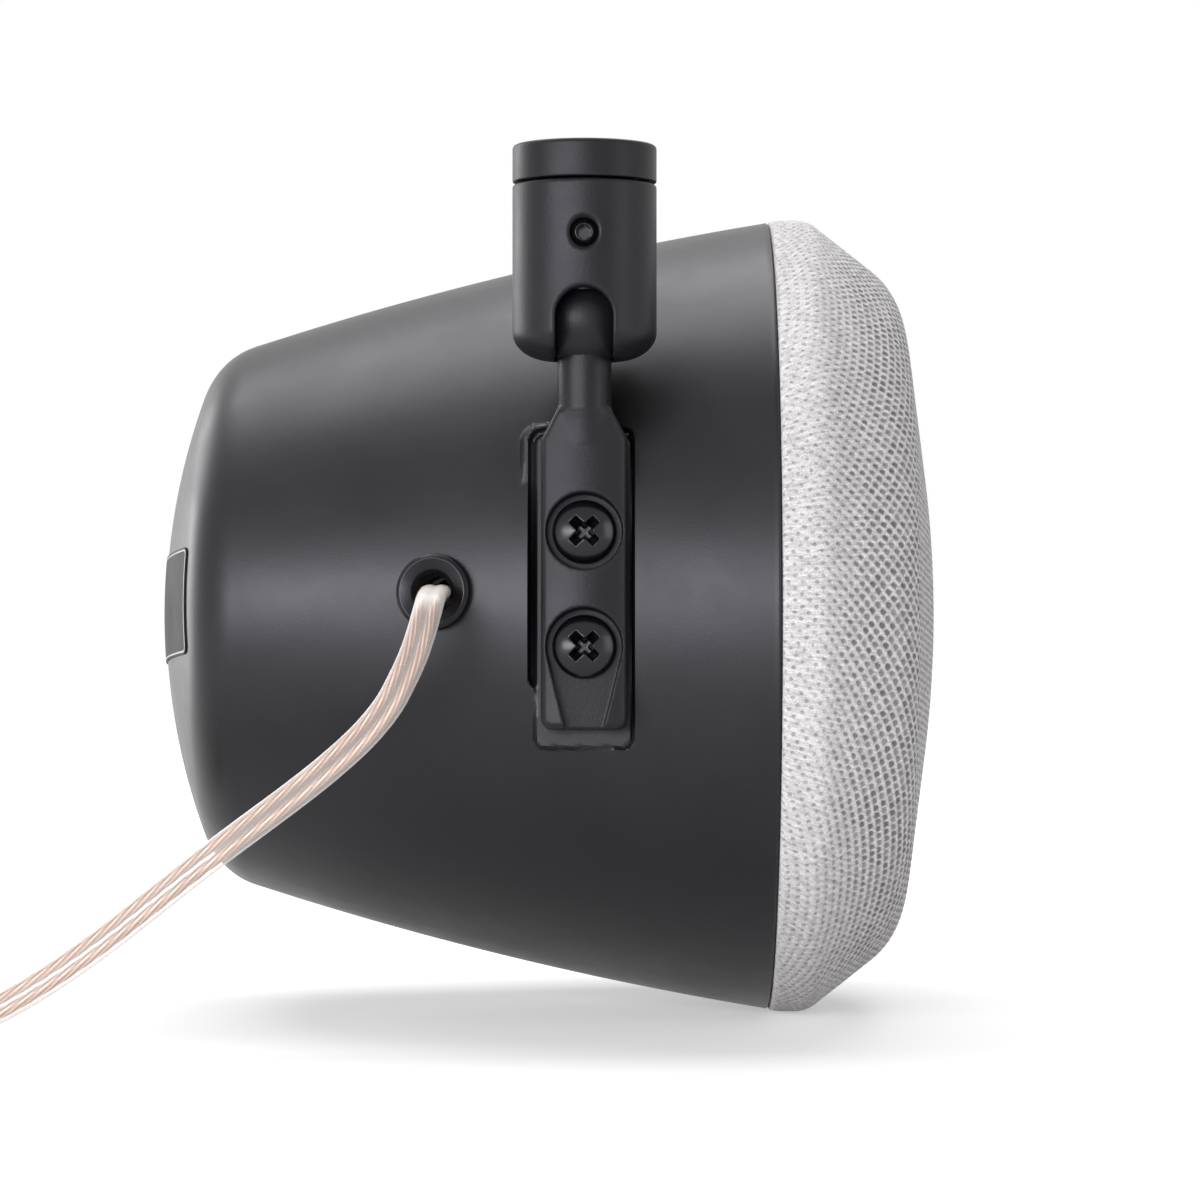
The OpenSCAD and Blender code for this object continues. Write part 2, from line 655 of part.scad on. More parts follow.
// The flat side's direction, carried along the route from a start
function carried(p, start, i) =
    let (before = i == 0 ? start : carried(p, start, i - 1), t = along(p, i))
    unit(before - (before * t) * t);

// A tube of oval section along a route
module swept(p, half_w, half_t, start, sides = 8) {
    rings = [for (i = [0 : len(p) - 1])
        let (t = along(p, i), up = carried(p, start, i), w = cross(t, up))
        for (k = [0 : sides - 1])
            p[i] + half_w * cos(360 * k / sides) * w + half_t * sin(360 * k / sides) * up];
    last = len(p) - 1;
    sides_of = [for (i = [0 : last - 1], k = [0 : sides - 1]) [
        i * sides + k, i * sides + (k + 1) % sides, (i + 1) * sides + (k + 1) % sides, (i + 1) * sides + k
    ]];
    ends = [[for (k = [0 : sides - 1]) sides - 1 - k], [for (k = [0 : sides - 1]) last * sides + k]];
    polyhedron(rings, concat(sides_of, ends));
}

module speaker_lead() color("#c98a63") swept(lead_route, lead_w / 2, lead_t / 2, [0, 0, 1]);

module lead_coil() color("#c98a63") translate([coil_x, coil_y, floor_z]) rotate_extrude() polygon([
    [coil_in_r, 0.4], [coil_in_r + 0.4, 0], [coil_out_r - 0.4, 0], [coil_out_r, 0.4],
    [coil_out_r, 2 * coil_layer - 0.3], [coil_out_r - 0.4, 2 * coil_layer + 0.1],
    [coil_in_r + 0.4, 2 * coil_layer + 0.1], [coil_in_r, 2 * coil_layer - 0.3]
]);

// The lead's two cores, parted and stripped at their ends
module lead_tails() color("#b87348") for (side = [0, 1])
    translate([coil_x, coil_y - coil_out_r - tail_r - 0.15 - side * (lead_t + 0.1), floor_z + tail_top])
        rotate([0, -90 - 9.5, side * 7]) {
            cylinder(r = tail_r, h = tail_len);
            translate([0, 0, tail_len]) cylinder(r = strand_r, h = strand_len);
        }

// Single wires from the tied lead to the driver's two tags
module inner_leads() color("#c98a63") leaning() for (side = [-1, 1]) swept([
    [-grommet_back + 2, tie_y + 1.2, pod_z + side * 0.6], [-grommet_back + 4, tie_y + 3.6, pod_z + side * 2],
    [-grommet_back + 8.4, tie_y + 5.2, pod_z + side * 3.4],
    [board_x - tag_len - 5, pod_y - tag_r - 0.4, pod_z + side * tag_gap],
    [board_x - tag_len - 0.1, pod_y - tag_r, pod_z + side * tag_gap]
], 0.8, 0.8, [0, 0, 1]);

module baffle_seal() color("#1b1b1d") leaning() on_pod_axis() translate([0, 0, ledge_x]) difference() {
    tube_of(front_r, ledge_in_r, seal_t);
    baffle_screw_places() cylinder(r = 1.8, h = 3 * seal_t, center = true);
}

module baffle() color("#1f1f21") leaning() on_pod_axis() translate([0, 0, baffle_x]) difference() {
    tube_of(front_r, cutout_r, baffle_t);
    baffle_screw_places() cylinder(r = 1.8, h = 3 * baffle_t, center = true);
    driver_screw_places() cylinder(r = 1.3, h = 3 * baffle_t, center = true);
}

// Pan head screw along Z, its head's seat at Z = 0
module pan_screw(r, len, head_r, head_h) difference() {
    union() {
        translate([0, 0, -len]) cylinder(r = r, h = len);
        cylinder(r = head_r, h = head_h * 0.6);
        translate([0, 0, head_h * 0.6]) cylinder(r1 = head_r, r2 = head_r * 0.6, h = head_h * 0.4);
    }
    for (a = [0, 90]) rotate(a) translate([0, 0, head_h]) cube([head_r, 0.6, head_h], center = true);
}

module baffle_screws() color("#2e2e30") leaning() on_pod_axis() translate([0, 0, baffle_face])
    baffle_screw_places() pan_screw(1.22, 14, 2.2, 1.9);

module driver_seal() color("#1b1b1d") leaning() on_pod_axis() translate([0, 0, baffle_face]) difference() {
    tube_of(driver_r, cutout_r, driver_seal_t);
    driver_screw_places() cylinder(r = 1.8, h = 4, center = true);
}

// Pressed steel basket with windows in its side
module driver_frame() color("#3a3b3d") leaning() on_pod_axis() difference() {
    turned([
        [flange_face, basket_r - steel_t], [flange_face, driver_r], [flange_x, driver_r],
        [flange_x, basket_r], [spider_x - steel_t, spider_ledge_r + steel_t],
        [spider_x - steel_t, basket_neck_r + steel_t], [basket_floor_x - steel_t, basket_neck_r + steel_t],
        [basket_floor_x - steel_t, gap_outer_r], [basket_floor_x, gap_outer_r],
        [basket_floor_x, basket_neck_r], [spider_x, basket_neck_r], [spider_x, spider_ledge_r]
    ]);
    ring_of(6, basket_r - 4) translate([0, 0, (flange_x + spider_x) / 2])
        cube([window_w, basket_r / 2, window_h], center = true);
    driver_screw_places()
        translate([0, 0, flange_x - over]) cylinder(r = 1.8, h = steel_t + 2 * over);
}

module driver_screws() color("#2e2e30") leaning() on_pod_axis() translate([0, 0, flange_face])
    driver_screw_places() pan_screw(1.25, driver_seal_t + steel_t + baffle_t - 0.4, 2.4, 1.9);

module top_plate() color("#9a9c9f") leaning() on_pod_axis()
    translate([0, 0, magnet_front]) tube_of(magnet_r - 4, gap_outer_r, plate_steel_t);

module magnet() color("#2c2b2a") leaning() on_pod_axis()
    translate([0, 0, magnet_back]) tube_of(magnet_r, gap_outer_r + 3.2, magnet_t);

// Back plate and pole piece in one turning, with a vent through the pole
module back_plate() color("#9a9c9f") leaning() on_pod_axis() difference() {
    union() {
        translate([0, 0, magnet_back - plate_steel_t]) cylinder(r = magnet_r - 4, h = plate_steel_t);
        translate([0, 0, magnet_back]) cylinder(r = pole_r, h = magnet_t + plate_steel_t);
    }
    translate([0, 0, magnet_back - plate_steel_t - over])
        cylinder(r = vent_r, h = magnet_t + 2 * plate_steel_t + 2 * over);
}

// Board with the driver's two tags, behind the basket's shoulder
module terminal_strip() color("#7a5a3a") leaning() translate([board_x, pod_y - board_r, pod_z - board_w / 2])
    cube([board_t, board_r - spider_ledge_r + 3.5, board_w]);
module terminal_tags() color("#c9a755") leaning() for (side = [-1, 1])
    translate([board_x - tag_len, pod_y - tag_r - tag_t / 2, pod_z + side * tag_gap - tag_w / 2])
        cube([tag_len, tag_t, tag_w]);

// Corrugated cloth ring that centres the voice coil
module spider() color("#c8a24a") leaning() on_pod_axis() {
    waves = 5;
    steps = 4 * waves;
    in_r = coil_r + 0.25;
    out_r = spider_ledge_r - 4;
    line = [for (i = [0 : steps]) [spider_x + 1.3 + 1 * sin(90 * i), in_r + (out_r - in_r) * i / steps]];
    turned(concat(
        [for (p = line) p + [0.2, 0]], [[spider_x + 0.5, out_r + 0.6], [spider_x + 0.5, spider_ledge_r - 0.4],
        [spider_x + 0.05, spider_ledge_r - 0.4], [spider_x + 0.05, out_r - 0.6]],
        [for (p = backwards(line)) p - [0.2, 0]]
    ));
}

// Rubber half roll between the cone and the flange
module surround() color("#161617") leaning() on_pod_axis() {
    x = flange_face + 0.05;
    c = [x, cone_r + roll_r + 0.6];
    turned(concat(
        [[x, cone_r - 1.6], [x + 0.5, cone_r - 1.6]],
        arc(c, roll_r + 0.5, -90, 90, 8), [[x + 0.5, surround_r], [x, surround_r]],
        arc(c, roll_r, 90, -90, 8)
    ));
}

// Paper cone with a collar at its neck and a flat rim
module cone() color("#242322") leaning() on_pod_axis() turned([
    [cone_neck_x - 1.5, cone_neck_r], [cone_neck_x - 1.5, cone_neck_r + paper_t],
    [cone_neck_x, cone_neck_r + paper_t], [cone_rim_x - paper_t, cone_r - 2.2],
    [cone_rim_x - paper_t, cone_r], [cone_rim_x, cone_r], [cone_rim_x, cone_r - 2.4],
    [cone_neck_x + paper_t, cone_neck_r]
]);

// Where the cone's front is at a radius
function cone_face(r) = cone_neck_x + paper_t
    + (cone_rim_x - cone_neck_x - paper_t) * (r - cone_neck_r) / (cone_r - 2.4 - cone_neck_r);

module dust_cap() color("#1d1d1e") leaning() on_pod_axis() {
    rise = 4.5;
    round_r = (dust_cap_r * dust_cap_r + rise * rise) / 2 / rise;
    c = [cone_face(dust_cap_r) + paper_t + rise - round_r, 0];
    turned(concat(
        arc(c, round_r, asin(dust_cap_r / round_r), 0, 6),
        arc(c, round_r - paper_t, 0, asin(dust_cap_r / round_r), 6)
    ));
}

module voice_coil() color("#a5672f") leaning() on_pod_axis() {
    former_end = magnet_front - 2;
    translate([0, 0, former_end]) tube_of(coil_r + 0.2, coil_r, cone_neck_x + 0.4 - former_end);
    translate([0, 0, magnet_front - 1]) tube_of(winding_r, coil_r, plate_steel_t + 2);
}

// Frame under the fabric: a domed net of ribs with a skirt into the housing
module grille_frame() color("#202022") leaning() on_pod_axis() {
    gap = fabric_t + 0.1;
    rear = seam_x + gap;
    difference() {
        turned(concat(
            [[rear, fabric_r - gap]], front_outline(gap), backwards(front_outline(gap + grille_t)),
            [[rear + grille_t, fabric_r - gap - grille_t], [rear + grille_t, skirt_r],
             [baffle_face + 0.1, skirt_r], [baffle_face + 0.1, front_r], [rear, front_r]]
        ));
        for (row = [0 : 2]) translate([0, 0, rear + grille_t + over])
            linear_extrude(face_dome_c[0] + face_dome_r - rear) difference() {
                circle(r = hub_r + (row + 1) * grille_row);
                circle(r = hub_r + row * grille_row + rib_w);
                ring_of(8 + 5 * row, hub_r + (row + 0.5) * grille_row)
                    square([grille_row + 2, rib_w], center = true);
            }
    }
}

// Knitted cloth over the frame, folded in behind its edge
module grille_fabric() color("#d6d4d1") leaning() on_pod_axis() turned(concat(
    [[seam_x, seat_r + 0.4], [seam_x, fabric_r - 0.4], [seam_x + 0.5, fabric_r]], front_outline(0),
    backwards(front_outline(fabric_t)),
    [[seam_x + fabric_t, fabric_r - fabric_t], [seam_x + fabric_t, seat_r + 0.4]]
));

mount_collar();
socket_body();
grub_screw();
friction_spring();
clamp_cup();
pivot_ball();
bracket_arm();
bracket_screw_upper();
bracket_screw_lower();
brass_inserts();
rear_housing();
rating_label();
wadding();
cable_grommet();
lead_tie();
speaker_lead();
lead_coil();
lead_tails();
inner_leads();
baffle_seal();
baffle();
baffle_screws();
driver_seal();
driver_frame();
driver_screws();
top_plate();
magnet();
back_plate();
terminal_strip();
terminal_tags();
spider();
surround();
cone();
dust_cap();
voice_coil();
grille_frame();
grille_fabric();
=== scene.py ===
"""Dresses a hanging pod speaker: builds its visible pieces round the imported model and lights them.

Every size is in millimetres, in the frame of the part: the origin is the middle of the collar's top face,
+Z is up, +X points to the fabric front and the arm is on the -Y side. Meshes are turned to metres as they
are made.
"""

from __future__ import annotations

import logging
import math
from dataclasses import dataclass, field
from enum import Enum
from functools import partial
from typing import Callable, Sequence

import bpy
import numpy as np
from mathutils import Matrix


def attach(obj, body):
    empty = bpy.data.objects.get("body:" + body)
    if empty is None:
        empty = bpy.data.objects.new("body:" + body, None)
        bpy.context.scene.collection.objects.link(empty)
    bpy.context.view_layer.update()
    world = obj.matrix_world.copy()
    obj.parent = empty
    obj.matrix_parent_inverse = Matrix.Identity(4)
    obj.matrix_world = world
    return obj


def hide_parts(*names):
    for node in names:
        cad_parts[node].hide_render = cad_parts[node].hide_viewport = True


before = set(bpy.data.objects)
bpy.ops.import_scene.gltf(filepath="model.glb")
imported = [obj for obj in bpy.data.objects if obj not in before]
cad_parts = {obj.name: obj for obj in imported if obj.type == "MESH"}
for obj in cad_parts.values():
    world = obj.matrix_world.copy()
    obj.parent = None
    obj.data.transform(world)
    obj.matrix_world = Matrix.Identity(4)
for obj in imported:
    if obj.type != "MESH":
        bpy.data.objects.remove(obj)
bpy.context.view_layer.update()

log = logging.getLogger("pod_speaker")

MM = 0.001
Points = np.ndarray
Field = Callable[[Points, Points, Points], Points]
Outline = list[tuple[float, float]]
Corners = Sequence[tuple[float, float, float]]
Faces = list[tuple[int, ...]]
Piece = bpy.types.Object
Material = bpy.types.Material
Tree = bpy.types.NodeTree
Node = bpy.types.Node
Socket = bpy.types.NodeSocket
Adder = Callable[..., Node]


# ---- meshes -------------------------------------------------------------------------------------


def arc(centre: Sequence[float], radius: float, start: float, end: float, steps: int) -> Outline:
    """Points of an arc.

    Args:
        centre: The arc's centre.
        radius: Its radius.
        start: Its first angle, in degrees.
        end: Its last angle, in degrees.
        steps: The number of steps between them.

    Returns:
        steps + 1 points.
    """
    angles = np.radians(np.linspace(start, end, steps + 1))
    return [(centre[0] + radius * math.cos(a), centre[1] + radius * math.sin(a)) for a in angles]


def soften(profile: Corners, steps: int) -> Outline:
    """Rounds the corners of an open outline.

    Args:
        profile: Points as (x, y, radius), where a radius of 0 leaves the corner sharp.
        steps: Steps on each round.

    Returns:
        The rounded outline's points.
    """
    points = np.array([p[:2] for p in profile], float)
    out: Outline = []
    for i, (x, y, radius) in enumerate(profile):
        if radius <= 0 or i in (0, len(profile) - 1):
            out.append((x, y))
            continue
        back = points[i - 1] - points[i]
        ahead = points[i + 1] - points[i]
        back /= np.linalg.norm(back)
        ahead /= np.linalg.norm(ahead)
        half = math.acos(max(-1.0, min(1.0, float(back @ ahead)))) / 2
        middle = back + ahead
        centre = points[i] + middle / np.linalg.norm(middle) * radius / math.sin(half)
        first = points[i] + back * radius / math.tan(half) - centre
        last = points[i] + ahead * radius / math.tan(half) - centre
        a = math.degrees(math.atan2(first[1], first[0]))
        turn = (math.degrees(math.atan2(last[1], last[0])) - a + 540) % 360 - 180
        out.extend(arc(centre, radius, a, a + turn, steps))
    return out


def soften_ring(corners: Corners, steps: int) -> Outline:
    """Rounds the corners of a closed outline, given as soften's are."""
    return soften([*corners, *corners[:2]], steps)[1:-1]


def strips(rows: int, columns: int, closed: bool = True, capped: bool = False) -> Faces:
    """Quads between rows of points that run round a ring.

    Args:
        rows: The number of rows.
        columns: The points in each row.
        closed: Whether each row closes on itself.
        capped: Whether the first and the last row are filled.

    Returns:
        The faces as tuples of point numbers.
    """
    faces: Faces = []
    for first in range(0, (rows - 1) * columns, columns):
        for c in range(columns if closed else columns - 1):
            after = (c + 1) % columns
            faces.append((first + c, first + after, first + columns + after, first + columns + c))
    if capped:
        faces += [tuple(range(columns - 1, -1, -1)), tuple(range((rows - 1) * columns, rows * columns))]
    return faces


def around(columns: int) -> Points:
    """The angles of evenly spaced points round a ring."""
    return np.linspace(0, 2 * math.pi, columns, endpoint=False)


def walked(line: Points) -> Points:
    """How far each point of a line is from its start, along the line."""
    return np.concatenate([[0], np.cumsum(np.linalg.norm(np.diff(line, axis=0), axis=1))])


@dataclass
class Shape:
    """A mesh in the making.

    Attributes:
        points: The points, in millimetres.
        faces: The faces, as point numbers.
        slots: Each face's material slot, or nothing where all are in the first.
    """

    points: Points
    faces: Faces
    slots: list[int] = field(default_factory=list)

    def moved(self, matrix: Matrix) -> Shape:
        """The same mesh, moved by a matrix in millimetres."""
        m = np.array(matrix)
        return Shape(self.points @ m[:3, :3].T + m[:3, 3], self.faces, self.slots)

    def inside_out(self) -> Shape:
        """The same mesh with its faces turned over."""
        return Shape(self.points, [f[::-1] for f in self.faces], self.slots)

    def plus(self, other: Shape) -> Shape:
        """This mesh and another in one."""
        n = len(self.points)
        faces = self.faces + [tuple(n + i for i in f) for f in other.faces]
        return Shape(np.vstack([self.points, other.points]), faces, self.slots + other.slots)

    def object(self, name: str, materials: Sequence[Material], sharp: float | None) -> Piece:
        """Makes the Blender object.

        Args:
            name: The piece's name.
            materials: Its material for each slot.
            sharp: The angle in degrees past which an edge stays sharp, or None for none.

        Returns:
            The new object, linked to the scene.
        """
        mesh = bpy.data.meshes.new(name)
        mesh.from_pydata((self.points * MM).tolist(), [], self.faces)
        mesh.polygons.foreach_set("use_smooth", [True] * len(mesh.polygons))
        if self.slots:
            mesh.polygons.foreach_set("material_index", self.slots)
        mesh.validate()
        mesh.update()
        if sharp is not None:
            mesh.set_sharp_from_angle(angle=math.radians(sharp))
        for material in materials:
            mesh.materials.append(material)
        return linked(name, mesh)


def linked(name: str, data: bpy.types.ID) -> Piece:
    """A new object with the data given, linked to the scene."""
    new = bpy.data.objects.new(name, data)
    bpy.context.scene.collection.objects.link(new)
    return new


def turned(profile: Outline, columns: int = 96, closed: bool = False) -> Shape:
    """Turns an outline of (height, radius) points about Z.

    Args:
        profile: The outline, from the lowest to the highest end or the other way.
        columns: The points round the axis.
        closed: Whether the outline closes on itself, as a tube's does.

    Returns:
        The mesh, filled where the outline's last point is on the axis.
    """
    heights, radii = np.array(profile).T
    radii = np.maximum(radii, 0.02)
    angles = around(columns)
    points = np.stack([
        np.outer(radii, np.cos(angles)), np.outer(radii, np.sin(angles)),
        np.repeat(heights[:, None], columns, 1),
    ], -1).reshape(-1, 3)
    faces = strips(len(profile), columns)
    last = (len(profile) - 1) * columns
    if closed:
        faces += [(last + c, last + (c + 1) % columns, (c + 1) % columns, c) for c in range(columns)]
    elif radii[-1] < 0.05:
        faces.append(tuple(range(last, last + columns)))
    area = sum(a[0] * b[1] - b[0] * a[1] for a, b in zip(profile, profile[1:] + profile[:1]))
    shape = Shape(points, faces)
    return shape if area < 0 else shape.inside_out()


def net(field_of: Field, low: Sequence[float], high: Sequence[float], cell: float) -> Shape:
    """Meshes a solid that is given as a signed distance.

    Each cell that the surface crosses gets one point, which is then pulled on to the surface.

    Args:
        field_of: The signed distance, below 0 inside the solid.
        low: The lowest corner of the box that holds the solid.
        high: The highest corner.
        cell: The size of a cell.

    Returns:
        The closed mesh.
    """
    axes = [np.arange(a - cell, b + 2 * cell, cell) for a, b in zip(low, high)]
    grid = np.meshgrid(*axes, indexing="ij")
    value = field_of(*grid)
    inside = value < 0
    shape = tuple(n - 1 for n in value.shape)
    total = np.zeros(shape + (3,))
    count = np.zeros(shape)
    crossings = []
    for axis in range(3):
        # Where the surface crosses the grid's edges along this axis, and the cells round each such edge.
        first, second = [slice(None)] * 3, [slice(None)] * 3
        first[axis], second[axis] = slice(None, -1), slice(1, None)
        a, b = value[tuple(first)], value[tuple(second)]
        crossed = inside[tuple(first)] != inside[tuple(second)]
        spot = np.stack([g[tuple(first)] for g in grid], -1)
        spot[..., axis] += np.where(crossed, a / np.where(crossed, a - b, 1), 0) * cell
        others = [k for k in range(3) if k != axis]
        for sides in ((0, 0), (0, 1), (1, 0), (1, 1)):
            cut = [slice(None)] * 3
            for other, side in zip(others, sides):
                cut[other] = slice(side, side + shape[other])
            hit = crossed[tuple(cut)]
            total += spot[tuple(cut)] * hit[..., None]
            count += hit
        crossings.append((axis, others, crossed, inside[tuple(first)]))
    used = count > 0
    number = np.full(shape, -1)
    number[used] = np.arange(int(used.sum()))
    points = total[used] / count[used][:, None]
    faces: Faces = []
    for axis, others, crossed, was_inside in crossings:
        # Each crossed edge gets the quad between the points of its four cells.
        where = np.argwhere(crossed)
        where = where[((where[:, others] > 0) & (where[:, others] < np.array(shape)[others])).all(1)]
        corners = []
        for offset in ((-1, -1), (0, -1), (0, 0), (-1, 0)):
            at = where.copy()
            at[:, others] += offset
            corners.append(number[tuple(at.T)])
        quads = np.stack(corners, -1)
        outward = was_inside[tuple(where.T)]
        if axis == 1:
            outward = ~outward
        quads[~outward] = quads[~outward][:, ::-1]
        faces.extend(map(tuple, quads.tolist()))
    step = cell * 0.1
    for _ in range(3):
        here = field_of(*points.T)
        slope = np.stack([
            (field_of(*(points + nudge).T) - field_of(*(points - nudge).T)) / (2 * step)
            for nudge in step * np.eye(3)
        ], -1)
        size = np.maximum((slope ** 2).sum(-1), 0.05)
        points = points - slope * np.clip(here / size, -cell / 2, cell / 2)[:, None]
    return Shape(points, faces)


def outline_distance(x: Points, y: Points, corners: Outline) -> Points:
    """Signed distance to a closed outline.

    Args:
        x: First coordinates.
        y: Second coordinates.
        corners: The outline's corners.

    Returns:
        The distance, below 0 inside.
    """
    best = np.full(np.shape(x), 1e9)
    flips = np.zeros(np.shape(x), bool)
    for (ax, ay), (bx, by) in zip(corners, corners[1:] + corners[:1]):
        ex, ey = bx - ax, by - ay
        wx, wy = x - ax, y - ay
        share = np.clip((wx * ex + wy * ey) / (ex * ex + ey * ey), 0, 1)
        best = np.minimum(best, (wx - share * ex) ** 2 + (wy - share * ey) ** 2)
        if ey != 0:
            flips ^= ((ay > y) != (by > y)) & (x < ax + (y - ay) * ex / ey)
    return np.where(flips, -np.sqrt(best), np.sqrt(best))


def both(a: Points, b: Points, radius: float) -> Points:
    """The space inside a and b, with the edge where they meet rounded.

    Args:
        a: The signed distance to the first solid.
        b: The signed distance to the second.
        radius: The radius of the rounding.

    Returns:
        The signed distance to what both have in common.
    """
    if radius <= 0:
        return np.maximum(a, b)
    round_edge = np.hypot(np.maximum(radius + a, 0), np.maximum(radius + b, 0))
    return np.minimum(-radius, np.maximum(a, b)) + round_edge


def either(a: Points, b: Points, radius: float) -> Points:
    """The space inside a or b, with a fillet where they meet."""
    return -both(-a, -b, radius)


def without(a: Points, b: Points, radius: float) -> Points:
    """The space inside a and not b, with the edge of the cut rounded."""
    return both(a, -b, radius)


def blend_step(value: Points, start: float, end: float) -> Points:
    """0 before start, 1 past end, and a smooth step between them."""
    t = np.clip((value - start) / (end - start), 0, 1)
    return t * t * (3 - 2 * t)


# ---- finishes -----------------------------------------------------------------------------------


def linear(hex_colour: str) -> tuple[float, float, float, float]:
    """Turns an sRGB hex colour to Blender's linear colour."""
    parts = [int(hex_colour[i:i + 2], 16) / 255 for i in (1, 3, 5)]
    red, green, blue = [p / 12.92 if p <= 0.04045 else ((p + 0.055) / 1.055) ** 2.4 for p in parts]
    return red, green, blue, 1.0


def add_node(
    tree: Tree, kind: str, sockets: dict | None = None, stops: Sequence[tuple[float, str]] = (),
    **settings: str,
) -> Node:
    """Adds a node to a tree.

    Args:
        tree: The node tree.
        kind: The node's type.
        sockets: For an input's name or number, its value, or the output or the node to link to it. A node is
            linked by its first output.
        stops: A colour ramp's places from 0 to 1, with their sRGB hex colours.
        **settings: Values of the node's own properties.

    Returns:
        The new node.
    """
    node = tree.nodes.new(kind)
    for name, value in settings.items():
        setattr(node, name, value)
    for name, value in (sockets or {}).items():
        if isinstance(value, Node):
            value = value.outputs[0]
        if isinstance(value, Socket):
            tree.links.new(value, node.inputs[name])
        else:
            node.inputs[name].default_value = value
    if stops:
        elements = node.color_ramp.elements
        while len(elements) < len(stops):
            elements.new(0.5)
        for element, (place, colour) in zip(elements, stops):
            element.position, element.color = place, linear(colour)
    return node


def emptied(owner: Material | bpy.types.World) -> Adder:
    """Empties the node tree of a new material or world, and gives add_node for that tree."""
    owner.use_nodes = True
    owner.node_tree.nodes.clear()
    return partial(add_node, owner.node_tree)


# The size in millimetres of the patches that a plain finish's tone drifts in.
DRIFT_SIZE = 14


class Grain(Enum):
    """How a surface's small relief was made."""

    PLAIN = "plain"
    SPARK = "spark eroded mould texture"
    CAST = "powder coat on a casting"
    TURNED = "turned"
    FELTED = "felted"
    WOVEN = "woven"


@dataclass(frozen=True)
class Finish:
    """A plain finish: one colour with a fine relief and a little change of tone.

    Attributes:
        name: The material's name.
        colour: Its sRGB hex colour.
        second: The hex colour that it drifts to.
        roughness: How rough it is, from 0 to 1.
        metallic: 1 for bare metal.
        ior: Its index of refraction, or None for a metal's default.
        grain: How its relief was made.
        size: The relief's size in millimetres.
        depth: The relief's depth in millimetres.
        sheen: The strength of the sheen.
        gloss: The shader's specular level, where 0.5 is the index of refraction's own.
        cast: The hex tint of its gloss.
    """

    name: str
    colour: str
    second: str
    roughness: float
    metallic: float = 0.0
    ior: float | None = 1.5
    grain: Grain = Grain.SPARK
    size: float = 0.3
    depth: float = 0.02
    sheen: float = 0.0
    gloss: float = 0.5
    cast: str = "#f6f4ff"

    def make(self) -> Material:
        """Makes the material, once.

        Returns:
            The material, the same one at each call.
        """
        if self.name in bpy.data.materials:
            return bpy.data.materials[self.name]
        material = bpy.data.materials.new(self.name)
        add = emptied(material)
        place = add("ShaderNodeTexCoord").outputs["Object"]
        drift = add("ShaderNodeTexNoise", {
            "Vector": place, "Scale": 1 / (DRIFT_SIZE * MM), "Detail": 4.0, "Roughness": 0.6,
        })
        rough = add("ShaderNodeMapRange", {
            "Value": drift, "From Min": 0.3, "From Max": 0.7,
            "To Min": max(self.roughness - 0.04, 0.02), "To Max": self.roughness + 0.05,
        })
        colours = [(0.35, self.colour), (0.65, self.second)]
        sockets = {
            "Base Color": add("ShaderNodeValToRGB", {"Fac": drift}, colours), "Roughness": rough,
            "Metallic": self.metallic, "Sheen Weight": self.sheen, "Specular IOR Level": self.gloss,
            "Specular Tint": linear(self.cast if self.metallic == 0 else "#ffffff"),
        }
        if self.ior is not None:
            sockets["IOR"] = self.ior
        if self.grain is not Grain.PLAIN:
            sockets["Normal"] = add("ShaderNodeBump", {
                "Height": self.relief(add, place), "Distance": self.depth * MM, "Strength": 1.0,
            })
        add("ShaderNodeOutputMaterial", {"Surface": add("ShaderNodeBsdfPrincipled", sockets)})
        return material

    def relief(self, add: Adder, place: Socket) -> Node:
        """The height of the finish's small relief.

        Args:
            add: Adds a node to the material's tree.
            place: The place on the surface, in metres.

        Returns:
            The node that gives the height from 0 to 1.
        """
        scale = 1 / (self.size * MM)
        if self.grain is Grain.WOVEN:
            # A wave texture's bands are 20 / 3.14 times as close as its scale says.
            threads = [
                add("ShaderNodeTexWave", {
                    "Vector": place, "Scale": scale / 20 * 3.14, "Distortion": 0.5,
                }, bands_direction=direction).outputs["Fac"] for direction in "XY"
            ]
            return add("ShaderNodeMath", {0: threads[0], 1: threads[1]}, operation="MAXIMUM")
        if self.grain is Grain.TURNED:
            # The tool's lines run round the axis, so the noise is drawn out across it.
            place = add("ShaderNodeMapping", {"Vector": place, "Scale": (0.04, 0.04, 1.0)}).outputs["Vector"]
        detail = 6.0 if self.grain is Grain.FELTED else 3.0
        return add("ShaderNodeTexNoise", {
            "Vector": place, "Scale": scale, "Detail": detail, "Roughness": 0.55,
        })


# ---- the materials of each piece ----------------------------------------------------------------

# ABS, injection moulded and spark eroded: black, fine grained, with a soft satin glow under a lamp.
ABS_MOULDED = Finish("abs_spark_textured", "#131314", "#161617", 0.38, size=0.32, depth=0.012, gloss=0.36)
# Zinc die casting under black powder coat: a touch greyer and rougher than the moulding, faintly pebbled.
POWDER_COAT = Finish(
    "zinc_powder_coated", "#141416", "#18181a", 0.43, grain=Grain.CAST, size=0.5, depth=0.035, gloss=0.27,
)
# Turned steel under black powder coat, for the collar: the same colour with a finer skin.
POWDER_TURNED = Finish(
    "steel_powder_coated", "#141416", "#18181a", 0.42, grain=Grain.CAST, size=0.4, depth=0.025, gloss=0.24,
)
# Steel, black oxide and oiled: the screws look wet and reflect the lamps.
BLACK_OXIDE = Finish(
    "steel_black_oxide", "#0a0a0b", "#0e0e0f", 0.24, ior=1.6, grain=Grain.TURNED, depth=0.006, gloss=0.3,
)
# EPDM rubber from a polished mould: the deepest black, with a bright narrow gloss.
EPDM = Finish(
    "epdm_polished", "#080809", "#0b0b0c", 0.26, ior=1.52, size=0.8, depth=0.01, gloss=0.25,
)
